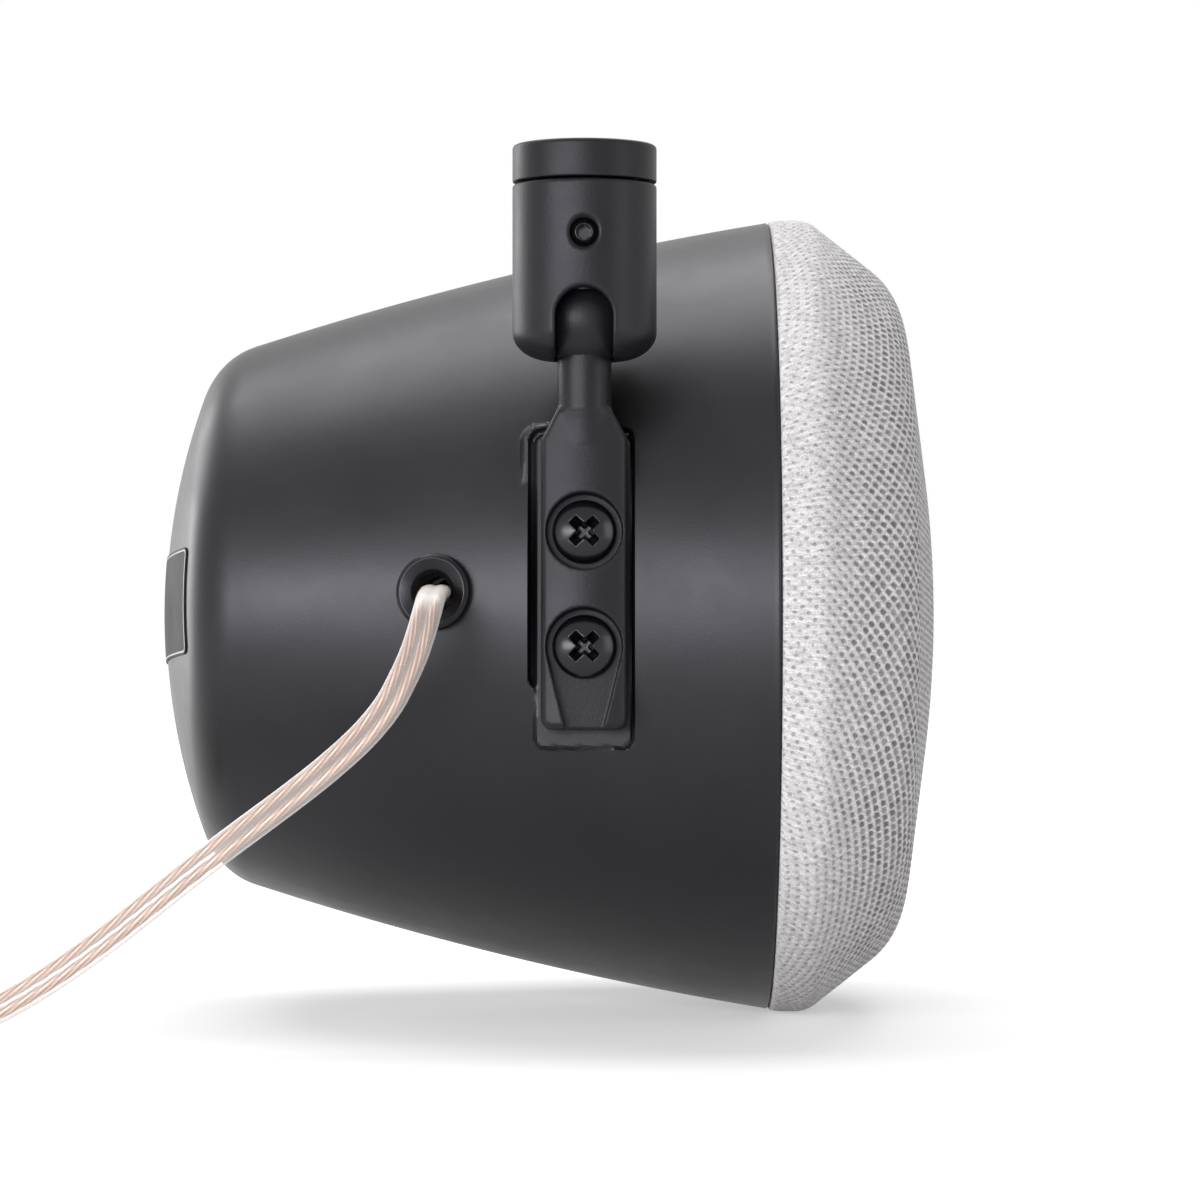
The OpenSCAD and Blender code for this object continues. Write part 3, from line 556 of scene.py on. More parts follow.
# Polyester film, satin black: flat and even, with no print.
POLYESTER = Finish(
    "polyester_film_black", "#0a0a0b", "#0c0c0d", 0.5, ior=1.57, grain=Grain.PLAIN, gloss=0.08,
)
# The same film's unprinted margin, which shows pale.
POLYESTER_EDGE = Finish("polyester_film_pale", "#8f8f8d", "#999997", 0.35, ior=1.57, grain=Grain.PLAIN)
# Steel, zinc plated: bright and faintly blue.
ZINC_PLATE = Finish(
    "steel_zinc_plated", "#b9bcc0", "#a8abb0", 0.28, metallic=1.0, ior=None, grain=Grain.TURNED, depth=0.01,
)
# Brass, turned: warm yellow with fine tool lines.
BRASS = Finish(
    "brass_turned", "#c9a35a", "#b8924c", 0.26, metallic=1.0, ior=None, grain=Grain.TURNED, depth=0.01,
)
# Polyester wool, needled: off white, fluffy and dull.
FELT = Finish(
    "polyester_felt", "#dedbd3", "#cfccc4", 0.95, grain=Grain.FELTED, size=1.2, depth=0.5, sheen=0.5,
)
# Nylon 66, moulded: milky and slightly glossy.
NYLON = Finish("nylon_moulded", "#e4e1d8", "#dad7cd", 0.38, ior=1.53, size=0.4, depth=0.01)
# PVC over copper, clear: the copper shows through as a warm brown.
PVC_COPPER = Finish("pvc_over_copper", "#c58a64", "#b4764f", 0.3, ior=1.53, grain=Grain.TURNED)
# Polyurethane foam, cut: dull black with open cells.
FOAM = Finish("pu_foam", "#1b1b1c", "#232324", 0.9, grain=Grain.FELTED, size=0.7, depth=0.25)
# Sheet steel, pressed and painted: dark grey and smooth.
BASKET_PAINT = Finish(
    "steel_stove_enamelled", "#333436", "#3a3b3d", 0.4, grain=Grain.CAST, size=0.8, depth=0.02,
)
# Ferrite, ground: a dull charcoal ceramic.
FERRITE = Finish("ferrite_ground", "#2b2a2a", "#353433", 0.6, grain=Grain.CAST, size=0.4, depth=0.03)
# Phenolic paper board, punched: brown with a fine fibre.
PHENOLIC = Finish("phenolic_board", "#7d5a38", "#6d4d2f", 0.45, grain=Grain.FELTED, size=0.5, depth=0.02)
# Cotton cloth, dipped in resin and pressed: amber with a visible weave.
RESIN_CLOTH = Finish("cotton_resin_cloth", "#c9a14c", "#b98f3d", 0.6, grain=Grain.WOVEN, size=0.6, depth=0.1)
# Nitrile rubber, moulded: matte black.
NITRILE = Finish("nitrile_moulded", "#161617", "#1b1b1c", 0.5, size=0.6, depth=0.015)
# Paper, pulped and pressed: near black with soft fibres.
PAPER = Finish("paper_pressed", "#232221", "#2b2a28", 0.8, grain=Grain.FELTED, size=0.8, depth=0.08)
# Copper wire, enamelled and wound: orange brown rings.
COPPER_WIRE = Finish(
    "copper_enamelled", "#a8642c", "#95551f", 0.3, metallic=1.0, ior=None, grain=Grain.TURNED, depth=0.03,
)

# The CAD nodes that stay as they are, under the finish that each gets.
KEPT_NODES: tuple[tuple[Finish, tuple[str, ...]], ...] = (
    (POWDER_COAT, ("pivot_ball",)),
    (BLACK_OXIDE, ("friction_spring", "clamp_cup", "baffle_screws", "driver_screws")),
    (BRASS, ("brass_inserts", "terminal_tags")),
    (NYLON, ("lead_tie",)),
    (PVC_COPPER, ("inner_leads",)),
    (FOAM, ("baffle_seal", "driver_seal")),
    (ABS_MOULDED, ("baffle", "grille_frame")),
    (BASKET_PAINT, ("driver_frame",)),
    (ZINC_PLATE, ("top_plate", "back_plate")),
    (FERRITE, ("magnet",)),
    (PHENOLIC, ("terminal_strip",)),
    (RESIN_CLOTH, ("spider",)),
    (NITRILE, ("surround",)),
    (PAPER, ("cone", "dust_cap")),
    (COPPER_WIRE, ("voice_coil",)),
)


@dataclass(frozen=True)
class MeshKnit:
    """Polyester melange yarn, warp knitted to an open mesh: pale threads round small grey holes.

    Attributes:
        pitch: The distance between neighbouring holes, along the two diagonals, in millimetres.
        hole: The hole's radius in millimetres.
        fade_start: The distance from the cloth's middle where the holes start to close up.
        fade_end: The distance where they are closed up most, near the hem.
        closed: The size of a hole there, as a share of an open one.
        patchiness: How far the closing comes and goes, in millimetres.
        wander: How far a hole may be off its place, in millimetres.
        squareness: How square a hole is, from 0 for round.
        shallowest: How dark the palest hole is, as a share of the darkest.
        noise: How many waves to a millimetre the wander, the closing, the fibres and the melange have.
        yarn: The yarn's colours, from its dark to its pale fibres.
        shade: The painted shade between two fibres.
        behind: The colour that shows in a hole.
    """

    pitch: float = 1.48
    hole: float = 0.5
    fade_start: float = 64.0
    fade_end: float = 78.0
    closed: float = 0.58
    patchiness: float = 12.0
    wander: float = 0.42
    squareness: float = 0.45
    shallowest: float = 0.62
    noise: tuple[float, float, float, float] = (0.5, 0.075, 3.4, 1.1)
    yarn: tuple[str, str, str] = ("#c8c5c7", "#e1dee0", "#f4f1f3")
    shade: str = "#b5b2b4"
    behind: str = "#6b6867"

    def make(self) -> Material:
        """Makes the material, which reads the cloth's own millimetres from the attribute cloth.

        Returns:
            The material.
        """
        material = bpy.data.materials.new("polyester_mesh_knit")
        add = emptied(material)
        cloth = add("ShaderNodeAttribute", attribute_name="cloth").outputs["Vector"]
        depth = self.depth(add, cloth)
        fibres = add("ShaderNodeTexNoise", {"Vector": cloth, "Scale": self.noise[2], "Detail": 3.0})
        streaks = add("ShaderNodeMapping", {
            "Vector": cloth, "Rotation": (0.0, 0.0, 0.785), "Scale": (0.25, 1.5, 1.0),
        })
        melange = add("ShaderNodeTexNoise", {
            "Vector": streaks, "Scale": self.noise[3], "Detail": 3.0, "Roughness": 0.7,
        })
        # The fibres' ramp paints shade in the low places between fibres, over the melange's own colours.
        tint = add("ShaderNodeMix", {
            0: 0.55, 6: add("ShaderNodeValToRGB", {"Fac": melange}, list(zip((0.36, 0.5, 0.6), self.yarn))),
            7: add("ShaderNodeValToRGB", {"Fac": fibres}, [(0.35, self.shade), (0.62, "#ffffff")]),
        }, data_type="RGBA", blend_type="MULTIPLY").outputs[2]
        colour = add("ShaderNodeMix", {
            0: add("ShaderNodeMath", {0: depth, 1: 0.94}, operation="MINIMUM"),
            6: tint, 7: linear(self.behind),
        }, data_type="RGBA").outputs[2]
        fluff = add("ShaderNodeMath", {0: fibres, 1: 0.35}, operation="MULTIPLY")
        streak = add("ShaderNodeMath", {0: melange, 1: 0.3}, operation="MULTIPLY")
        raised = add("ShaderNodeMath", {0: fluff, 1: streak}, operation="ADD")
        height = add("ShaderNodeMath", {0: raised, 1: depth}, operation="SUBTRACT")
        bump = add("ShaderNodeBump", {"Height": height, "Distance": 0.22 * MM, "Strength": 0.8})
        add("ShaderNodeOutputMaterial", {"Surface": add("ShaderNodeBsdfPrincipled", {
            "Base Color": colour, "Roughness": 0.88, "Sheen Weight": 0.25, "Normal": bump,
        })})
        return material

    def depth(self, add: Adder, cloth: Socket) -> Node:
        """How deep a point lies in a hole.

        Args:
            add: Adds a node to the material's tree.
            cloth: The place on the flat cloth, in millimetres.

        Returns:
            The node that gives the depth, from 0 on the yarn to 1 in the middle of the darkest holes.
        """
        wander = add("ShaderNodeTexNoise", {"Vector": cloth, "Scale": self.noise[0], "Detail": 2.0})
        axes = add("ShaderNodeSeparateXYZ", {0: add("ShaderNodeVectorMath", {
            0: wander.outputs["Color"], 1: (self.wander, self.wander, 0.0), 2: cloth,
        }, operation="MULTIPLY_ADD")}).outputs
        near, off = [], []
        for sign in ("ADD", "SUBTRACT"):
            # The holes' rows run along both diagonals of the cloth, and each is counted in pitches.
            along = add("ShaderNodeMath", {0: axes[0], 1: axes[1]}, operation=sign)
            row = add("ShaderNodeMath", {0: along, 1: 1 / (math.sqrt(2) * self.pitch)}, operation="MULTIPLY")
            near.append(add("ShaderNodeMath", {0: row}, operation="ROUND"))
            past = add("ShaderNodeMath", {0: row, 1: near[-1]}, operation="SUBTRACT")
            off.append(add("ShaderNodeMath", {0: past, 1: self.pitch}, operation="MULTIPLY"))
        squares = [add("ShaderNodeMath", {0: o, 1: 2.0}, operation="POWER") for o in off]
        sizes = [add("ShaderNodeMath", {0: o}, operation="ABSOLUTE") for o in off]
        total = add("ShaderNodeMath", dict(enumerate(squares)), operation="ADD")
        round_off = add("ShaderNodeMath", {0: total}, operation="SQRT")
        square_off = add("ShaderNodeMath", dict(enumerate(sizes)), operation="MAXIMUM")
        distance = add("ShaderNodeMath", {
            0: add("ShaderNodeMath", {0: round_off, 1: 1 - self.squareness}, operation="MULTIPLY"),
            1: add("ShaderNodeMath", {0: square_off, 1: self.squareness}, operation="MULTIPLY"),
        }, operation="ADD")
        cell = add("ShaderNodeCombineXYZ", dict(enumerate(near)))
        chance = add("ShaderNodeTexWhiteNoise", {"Vector": cell}, noise_dimensions="2D")
        radius = add("ShaderNodeVectorMath", {0: cloth}, operation="LENGTH").outputs["Value"]
        patches = add("ShaderNodeTexNoise", {"Vector": cloth, "Scale": self.noise[1], "Detail": 2.0})
        patched = add("ShaderNodeMath", {0: patches, 1: self.patchiness}, operation="MULTIPLY")
        openness = add("ShaderNodeMapRange", {
            "Value": add("ShaderNodeMath", {0: radius, 1: patched}, operation="ADD"),
            "From Min": self.fade_start, "From Max": self.fade_end, "To Min": 1.0, "To Max": self.closed,
        }, interpolation_type="SMOOTHSTEP")
        hole = add("ShaderNodeMapRange", {
            "Value": add("ShaderNodeMath", {0: distance, 1: openness}, operation="DIVIDE"),
            "From Min": self.hole * 1.3, "From Max": self.hole * 0.6, "To Min": 0.0, "To Max": 1.0,
        }, interpolation_type="SMOOTHSTEP")
        shown = add("ShaderNodeMath", {0: hole, 1: openness}, operation="MULTIPLY")
        varied = add("ShaderNodeMath", {0: chance, 1: 0.4}, operation="MULTIPLY")
        darkness = add("ShaderNodeMath", {0: varied, 1: self.shallowest}, operation="ADD")
        return add("ShaderNodeMath", {0: shown, 1: darkness}, operation="MULTIPLY")


@dataclass(frozen=True)
class ClearSheath:
    """PVC, extruded and clear: hazy face on, so the copper glows through it, and milky at its edges.

    Attributes:
        haze: The colours of the plastic's faint haze.
        face: How much of the sheath shows face on, from 0 for none.
        edge: How much of it shows at a grazing angle.
    """

    haze: tuple[str, str] = ("#f7f0eb", "#fdf9f6")
    face: float = 0.28
    edge: float = 0.97

    def make(self) -> Material:
        """Makes the material.

        Returns:
            The material.
        """
        material = bpy.data.materials.new("pvc_extruded_clear")
        add = emptied(material)
        place = add("ShaderNodeTexCoord").outputs["Object"]
        haze = add("ShaderNodeTexNoise", {"Vector": place, "Scale": 1 / (9 * MM), "Detail": 2.0})
        milky = add("ShaderNodeMapRange", {
            "Value": add("ShaderNodeLayerWeight", {"Blend": 0.45}).outputs["Facing"],
            "From Min": 0.16, "From Max": 0.74, "To Min": self.face, "To Max": self.edge,
        }, interpolation_type="SMOOTHSTEP")
        add("ShaderNodeOutputMaterial", {"Surface": add("ShaderNodeBsdfPrincipled", {
            "Base Color": add("ShaderNodeValToRGB", {"Fac": haze}, list(zip((0.3, 0.7), self.haze))),
            "Roughness": 0.2, "IOR": 1.53, "Alpha": milky,
            "Normal": add("ShaderNodeBump", {"Height": haze, "Distance": 0.1 * MM, "Strength": 0.2}),
        })})
        return material


@dataclass(frozen=True)
class CopperRope:
    """Copper strands, drawn and twisted, under the sheath: a cream painted highlight on ridges, brown
    painted shade in grooves.

    Attributes:
        ridge: The colour on top of a strand, a painted highlight.
        flank: The colour of its side.
        groove: The colour between two strands, painted shade.
    """

    ridge: str = "#ecd0bb"
    flank: str = "#c08d6c"
    groove: str = "#7f4a2b"

    def make(self) -> Material:
        """Makes the material, which reads how deep a point lies between the strands from an attribute.

        Returns:
            The material.
        """
        material = bpy.data.materials.new("copper_strands_twisted")
        add = emptied(material)
        depth = add("ShaderNodeAttribute", attribute_name="groove").outputs["Fac"]
        place = add("ShaderNodeTexCoord").outputs["Object"]
        mottle = add("ShaderNodeTexNoise", {"Vector": place, "Scale": 1 / (5 * MM), "Detail": 3.0})
        mixed = add("ShaderNodeMath", {0: mottle, 1: 0.5, 2: depth}, operation="MULTIPLY_ADD")
        # The ramp paints a highlight on the strands' ridges and shade down in the grooves between them.
        colours = [(0.3, self.ridge), (0.7, self.flank), (1.0, self.groove)]
        add("ShaderNodeOutputMaterial", {"Surface": add("ShaderNodeBsdfPrincipled", {
            "Base Color": add("ShaderNodeValToRGB", {"Fac": mixed}, colours),
            "Roughness": 0.35, "IOR": 1.5, "Metallic": 0.15,
        })})
        return material


# ---- shared places ------------------------------------------------------------------------------

# The ball's centre on the swivel's axis.
BALL_Z = -25.8
# The pod's axis beside the upright arm, and below the origin.
POD_Y = 58.4151
POD_Z = -65.9
# The surface that the front's edge and the lead lie on.
FLOOR_Z = -133.8
# How far the arm leans outward as it hangs.
LEAN = math.radians(3.9)


def upright_to_hung() -> Matrix:
    """The turn about the ball's centre that takes the upright pod and arm to how they hang."""
    up = Matrix.Translation((0, 0, BALL_Z))
    return up @ Matrix.Rotation(-LEAN, 4, "X") @ up.inverted()


def fit(piece: Piece, body: str, slot: str, *replaced: str) -> None:
    """Puts a finished piece on its body.

    Args:
        piece: The piece, in place.
        body: The CAD body that it rides on.
        slot: The record's material slot; not used.
        *replaced: The CAD nodes that it stands for.
    """
    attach(piece, body)
    if replaced:
        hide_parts(*replaced)
    log.info("%s: %d faces on %s", piece.name, len(piece.data.polygons), body)


# ---- the studio ---------------------------------------------------------------------------------


@dataclass
class Studio:
    """The pale floor, the soft lamps and the camera.

    Attributes:
        eye: The camera's place in millimetres.
        field: Its angle of view in degrees.
        shift: Its sideways and upward shift, as shares of the picture's width.
        floor_size: The floor's side in millimetres.
        surround: The strength at which the white surround lights the object.
    """

    eye: tuple[float, float, float] = (5.26, -563.8, -68.85)
    field: float = 17.95
    shift: tuple[float, float] = (-20 / 1200, 10 / 1200)
    floor_size: float = 9000.0
    surround: float = 0.17

    def build(self) -> None:
        """Sets up all of it."""
        self.camera()
        self.floor()
        self.world()
        self.lamps()
        bpy.context.scene.view_settings.view_transform = "Standard"

    def camera(self) -> None:
        """Places the camera at the photograph's viewpoint, level and looking along +Y."""
        data = bpy.data.cameras.new("studio_camera")
        data.sensor_width = 36.0
        data.sensor_fit = "HORIZONTAL"
        data.lens = 18 / math.tan(math.radians(self.field / 2))
        data.shift_x, data.shift_y = self.shift
        data.clip_start, data.clip_end = 0.01, 50.0
        camera = linked("studio_camera", data)
        camera.location = [v * MM for v in self.eye]
        camera.rotation_euler = (math.pi / 2, 0, 0)
        bpy.context.scene.camera = camera

    def floor(self) -> None:
        """Lays the floor: matte white paint that the camera sees as white, with the shadow on it."""
        half = self.floor_size / 2
        corners = np.array([(x * half, y * half, FLOOR_Z) for x, y in ((-1, -1), (1, -1), (1, 1), (-1, 1))])
        material = bpy.data.materials.new("floor_white_paint")
        add = emptied(material)
        place = add("ShaderNodeTexCoord").outputs["Object"]
        # The lift is less near the object, so that its shadow isn't washed out.
        share = add("ShaderNodeMapRange", {
            "Value": add("ShaderNodeVectorMath", {0: place}, operation="LENGTH").outputs["Value"],
            "From Min": 0.2, "From Max": 0.75, "To Min": 0.4, "To Max": 1.0,
        }, interpolation_type="SMOOTHSTEP")
        lift = add("ShaderNodeMath", {0: self.seen_directly(add), 1: share}, operation="MULTIPLY")
        paint = add("ShaderNodeBsdfDiffuse", {"Color": linear("#e4e4e4")})
        glow = add("ShaderNodeEmission", {"Color": (1, 1, 1, 1), "Strength": lift})
        add("ShaderNodeOutputMaterial", {"Surface": add("ShaderNodeAddShader", {0: paint, 1: glow})})
        Shape(corners, [(0, 1, 2, 3)]).object("studio_floor", [material], None)

    @staticmethod
    def seen_directly(add: Adder) -> Node:
        """Tells what the camera sees directly, in gloss or through glass.

        Args:
            add: Adds a node to the material's or the world's tree.

        Returns:
            The node that gives 1 for that and 0 for the rest.
        """
        path = add("ShaderNodeLightPath").outputs
        seen = path["Is Camera Ray"]
        for way in ("Is Glossy Ray", "Is Transmission Ray"):
            seen = add("ShaderNodeMath", {0: seen, 1: path[way]}, operation="MAXIMUM")
        return seen

    def world(self) -> None:
        """Hangs a white surround that lights the object softly."""
        world = bpy.data.worlds.new("studio_world")
        bpy.context.scene.world = world
        add = emptied(world)
        strength = add("ShaderNodeMapRange", {
            "Value": self.seen_directly(add), "To Min": self.surround, "To Max": 1.0,
        })
        light = add("ShaderNodeBackground", {"Color": (1, 1, 1, 1), "Strength": strength})
        add("ShaderNodeOutputWorld", {"Surface": light})

    def lamps(self) -> None:
        """Hangs the soft boxes: beside the camera, overhead, on the right and behind on the left."""
        target = np.array([-10.0, 40.0, -70.0])
        for name, place, size, watts in (
            ("lamp_beside_camera", (-360.0, -620.0, 30.0), (700.0, 210.0), 4.8),
            ("lamp_overhead", (-40.0, 230.0, 600.0), (920.0, 500.0), 5.5),
            ("lamp_right", (640.0, -330.0, 60.0), (260.0, 420.0), 0.8),
            ("lamp_rear_left", (-560.0, 480.0, 60.0), (260.0, 520.0), 2.2),
        ):
            data = bpy.data.lights.new(name, "AREA")
            data.shape = "RECTANGLE"
            data.size, data.size_y = size[0] * MM, size[1] * MM
            data.energy = watts
            spot = np.array(place)
            direction = (target - spot) / np.linalg.norm(target - spot)
            side = np.cross(direction, (0.0, 0.0, 1.0))
            side /= np.linalg.norm(side)
            aim = np.eye(4)
            aim[:3] = np.stack([side, np.cross(side, direction), -direction, spot * MM], -1)
            linked(name, data).matrix_world = Matrix(aim.tolist())


# ---- the lead -----------------------------------------------------------------------------------

# The seen part of the lead, from the grommet's bore down to the floor and along it.
LEAD_ROUTE = [
    (-20.5, 9.9, -66.7), (-21.2, 6.5, -66.4), (-21.8, 3.2, -66.2), (-22.1, 0.9, -66.1),
    (-22.3, -1.4, -66.3), (-22.6, -4.4, -67.2), (-23.0, -7.2, -69.1),
    (-23.7, -9.3, -72.0), (-24.8, -10.6, -75.4), (-26.4, -11.3, -79.0),
    (-28.6, -11.7, -83.0), (-32.1, -11.8, -87.2), (-36.8, -11.7, -91.5),
    (-42.2, -11.4, -95.8), (-50.7, -10.8, -102.1), (-57.2, -10.2, -107.0),
    (-63.4, -9.6, -111.9), (-71.0, -9.0, -117.8), (-79.0, -8.2, -123.3), (-87.0, -7.4, -127.8),
    (-95.0, -6.6, -130.6), (-104.0, -5.9, -131.5), (-113.0, -5.5, -131.5),
    (-123.0, -5.5, -131.5), (-133.0, -5.5, -131.5),
]


def through(points: Sequence[Sequence[float]], step: float) -> Points:
    """A smooth line through points.

    Args:
        points: The points.
        step: The distance between the line's points.

    Returns:
        The line's points, evenly spaced.
    """
    p = np.array(points, float)
    p = np.vstack([2 * p[0] - p[1], p, 2 * p[-1] - p[-2]])
    fine = []
    t = np.linspace(0, 1, 24, endpoint=False)[:, None]
    for a, b, c, d in zip(p[:-3], p[1:-2], p[2:-1], p[3:]):
        bend, twist = 2 * a - 5 * b + 4 * c - d, 3 * b - a - 3 * c + d
        fine.append(0.5 * (2 * b + (c - a) * t + bend * t ** 2 + twist * t ** 3))
    return evenly(np.vstack(fine + [p[-2:-1]]), step)


def evenly(line: Points, step: float) -> Points:
    """Spaces a line's points evenly, about step apart."""
    way = walked(line)
    places = np.linspace(0, way[-1], max(2, round(way[-1] / step)) + 1)
    return np.stack([np.interp(places, way, line[:, k]) for k in range(3)], -1)


def carried(line: Points, start: Sequence[float]) -> tuple[Points, Points]:
    """Carries a direction along a line without twisting it.

    Args:
        line: The line's points.
        start: The direction at its start.

    Returns:
        At each point, the direction across the line and the carried direction.
    """
    along = np.gradient(line, axis=0)
    along /= np.linalg.norm(along, axis=1)[:, None]
    ups = []
    up = np.array(start, float)
    for t in along:
        up = up - (up @ t) * t
        up /= np.linalg.norm(up)
        ups.append(up)
    return np.cross(along, np.array(ups)), np.array(ups)


def ringed(line: Points, wide: Points, high: Points) -> Shape:
    """Puts a ring of points round each point of a line and fills both ends.

    Args:
        line: The line's points.
        wide: How far each ring's points lie to the side, one row for each point of the line or one for all.
        high: How far they lie up from it.

    Returns:
        The closed mesh.
    """
    across, up = carried(line, (0, 0, 1))
    points = line[:, None] + wide[..., None] * across[:, None] + high[..., None] * up[:, None]
    return Shape(points.reshape(-1, 3), strips(len(line), wide.shape[-1], capped=True)).inside_out()


@dataclass
class SpeakerLead:
    """The flat clear lead with its two cores, from the grommet to the coil that it is put away in.

    Attributes:
        width: The lead's width.
        thickness: Its thickness.
        core_gap: Half the distance between its two cores.
        core_r: The radius of a bundle of copper strands.
        core_shift: How far both cores sit towards one edge.
        strands: The ridges that show round a bundle.
        twist: The length in which the strands go round once.
        coil: The middle of the coil.
        turn_r: The radius of its outer turn.
        turns: The turns in each layer.
        step: The distance between neighbouring turns.
        heights: The heights of the two layers above the floor.
        tail_r: The radius of a parted core's own sheath.
        bare: The share of a parted core that is stripped.
        tie_at: Where the tie is, as an angle of the coil in degrees.
    """

    width: float = 4.4
    thickness: float = 2.2
    core_gap: float = 1.0
    core_r: float = 0.78
    core_shift: float = 0.2
    strands: int = 7
    twist: float = 24.0
    coil: tuple[float, float] = (-133.0, 28.0)
    turn_r: float = 31.0
    turns: int = 6
    step: float = 2.4
    heights: tuple[float, float] = (2.3, 6.9)
    tail_r: float = 1.08
    bare: float = 0.22
    tie_at: float = 115.0

    def coiled(self) -> Points:
        """The line of the coil, from where the lead reaches it to where its cores part.

        The lower layer winds inward. The lead then climbs and winds outward over it, and each turn steps to
        the next within a short part of its round, out of step with the layer below.

        Returns:
            The line's points.
        """
        turn = np.arange(0, 2 * self.turns, 1 / 96)
        share = turn % 1
        number = np.floor(turn)
        last = self.turns - 1
        inward = self.turn_r - self.step * np.minimum(number + blend_step(share, 0.80, 1.0), last)
        outer = np.minimum(number - self.turns + blend_step(share, 0.34, 0.54), last)
        outward = self.turn_r - last * self.step + self.step * outer
        radius = np.where(number < self.turns, inward, outward)
        radius += 2.5 * (1 - blend_step(turn, 0.0, 0.25))
        radius += 3.6 * blend_step(turn, 2 * self.turns - 0.2, 2 * self.turns)
        low, high = self.heights
        climb = blend_step(turn, self.turns - 0.44, self.turns - 0.22)
        angle = -math.pi / 2 - 2 * math.pi * turn
        return np.stack([
            self.coil[0] + radius * np.cos(angle), self.coil[1] + radius * np.sin(angle),
            FLOOR_Z + low + (high - low) * climb,
        ], -1)

    def section(self, line: Points, half_w: float, half_t: float, columns: int) -> Shape:
        """The sheath round a line: two round cores with a shallow groove between them.

        Args:
            line: The line's points.
            half_w: Half the sheath's width.
            half_t: Half its thickness.
            columns: The points in each ring.

        Returns:
            The closed mesh.
        """
        a = around(columns)
        wide = half_w * np.sign(np.cos(a)) * np.abs(np.cos(a)) ** 0.85
        waist = 1 - 0.2 * np.exp(-(wide / (half_w * 0.22)) ** 2)
        high = half_t * np.sign(np.sin(a)) * np.abs(np.sin(a)) ** 0.7 * waist
        return ringed(line, wide[None, :], high[None, :])

    def rope(self, line: Points, aside: float, phase: float) -> tuple[Shape, Points]:
        """A twisted bundle of strands beside a line.

        Args:
            line: The line's points.
            aside: How far the bundle's middle lies to the side of it.
            phase: The angle at which the strands start.

        Returns:
            The closed mesh, and how deep each point lies between two strands, from 0 to 1.
        """
        columns = 2 * self.strands
        a = around(columns)[None, :] + walked(line)[:, None] * 2 * math.pi / self.twist + phase
        groove = np.tile(np.arange(columns) % 2, (len(line), 1)).astype(float)
        radius = self.core_r * (1 - 0.16 * groove)
        return ringed(line, radius * np.cos(a) + aside, radius * np.sin(a)), groove.reshape(-1)

    def tails(self, line: Points) -> tuple[Shape, Shape, Points]:
        """The two parted cores with their bare ends, laid down on the floor.

        Args:
            line: The lead's points, at whose end the cores part.

        Returns:
            The two short sheaths, the two bundles in them, and the bundles' depths between the strands.
        """
        x, y, z = line[-1]
        sheaths, bundles, depths = [], [], []
        for side, end_y, end_z in ((1, y + 1.4, FLOOR_Z + 1.9), (-1, y - 3.6, FLOOR_Z + 1.2)):
            path = through([
                (x + 0.6, y + 0.02 * side, z + side * self.core_gap),
                (x - 5, y + 0.25 * side, z + side * 1.15 - 0.3),
                (x - 12, (y + end_y) / 2, (z + end_z) / 2 + 0.7 * side), (x - 20, end_y, end_z + 0.5),
                (x - 27, end_y + 0.5 * side, end_z), (x - 34, end_y + 1.2 * side, end_z - 0.1),
            ], 0.6)
            covered = path[:round(len(path) * (1 - self.bare))]
            sheaths.append(self.section(covered, self.tail_r, self.tail_r, 12))
            bundle, groove = self.rope(path, 0.0, 0.4 * side)
            bundles.append(bundle)
            depths.append(groove)
        return sheaths[0].plus(sheaths[1]), bundles[0].plus(bundles[1]), np.concatenate(depths)

    def tie(self, angle: float) -> Shape:
        """A twist tie round all the turns of the coil.

        Args:
            angle: Where it is, as an angle of the coil.

        Returns:
            The mesh of its flat film with the wire's ridge along the middle.
        """
        loop = soften([
            (17.3, 0.15, 0), (17.3, 9.9, 1.2), (33.0, 9.9, 1.2), (33.0, 0.15, 0.4), (17.3, 0.15, 0.0),
        ], 5)
        middle = np.array([(r * math.cos(angle), r * math.sin(angle), h) for r, h in loop])
        side = np.array([-math.sin(angle), math.cos(angle), 0.0])
        out = middle - middle.mean(0)
        out -= (out @ side)[:, None] * side
        out /= np.linalg.norm(out, axis=1)[:, None]
        film = ((-1.6, 0.0), (-1.5, 0.4), (-0.4, 0.42), (0.0, 0.75), (0.4, 0.42), (1.5, 0.4), (1.6, 0.0))
        rows = [middle + w * side + t * out for w, t in film]
        points = np.stack(rows, 1).reshape(-1, 3) + np.array([*self.coil, FLOOR_Z])
        points[:, 2] = np.maximum(points[:, 2], FLOOR_Z + 0.02)
        return Shape(points, strips(len(loop), len(rows)))

    def build(self) -> None:
        """Makes the sheath, the cores, the tails and the tie."""
        line = np.vstack([through(LEAD_ROUTE, 0.9), evenly(self.coiled(), 3.0)[1:]])
        clear, copper = [ClearSheath().make()], [CopperRope().make()]
        sheath = self.section(line, self.width / 2, self.thickness / 2, 20)
        lead = sheath.object("speaker_lead_sheath", clear, None)
        (left, left_depth), (right, right_depth) = [
            self.rope(line, side * self.core_gap + self.core_shift, 0.9 * side) for side in (-1, 1)
        ]
        cores = left.plus(right).object("speaker_lead_cores", copper, None)
        tail_sheaths, tail_cores, tail_depth = self.tails(line)
        pieces = [
            cores, tail_sheaths.object("speaker_lead_tail_sheaths", clear, None),
            tail_cores.object("speaker_lead_tail_cores", copper, None),
            self.tie(math.radians(self.tie_at)).object("speaker_lead_tie", [NITRILE.make()], 30),
        ]
        # How deep each point lies between two strands, which the copper's ramp turns into painted highlight
        # and painted shade.
        for piece, depth in ((cores, np.concatenate([left_depth, right_depth])), (pieces[2], tail_depth)):
            piece.data.attributes.new("groove", "FLOAT", "POINT").data.foreach_set("value", depth)
        for piece in [lead] + pieces:
            fit(piece, "pod", "lead_sheath")
        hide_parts("speaker_lead", "lead_coil", "lead_tails")


# ---- the housing --------------------------------------------------------------------------------


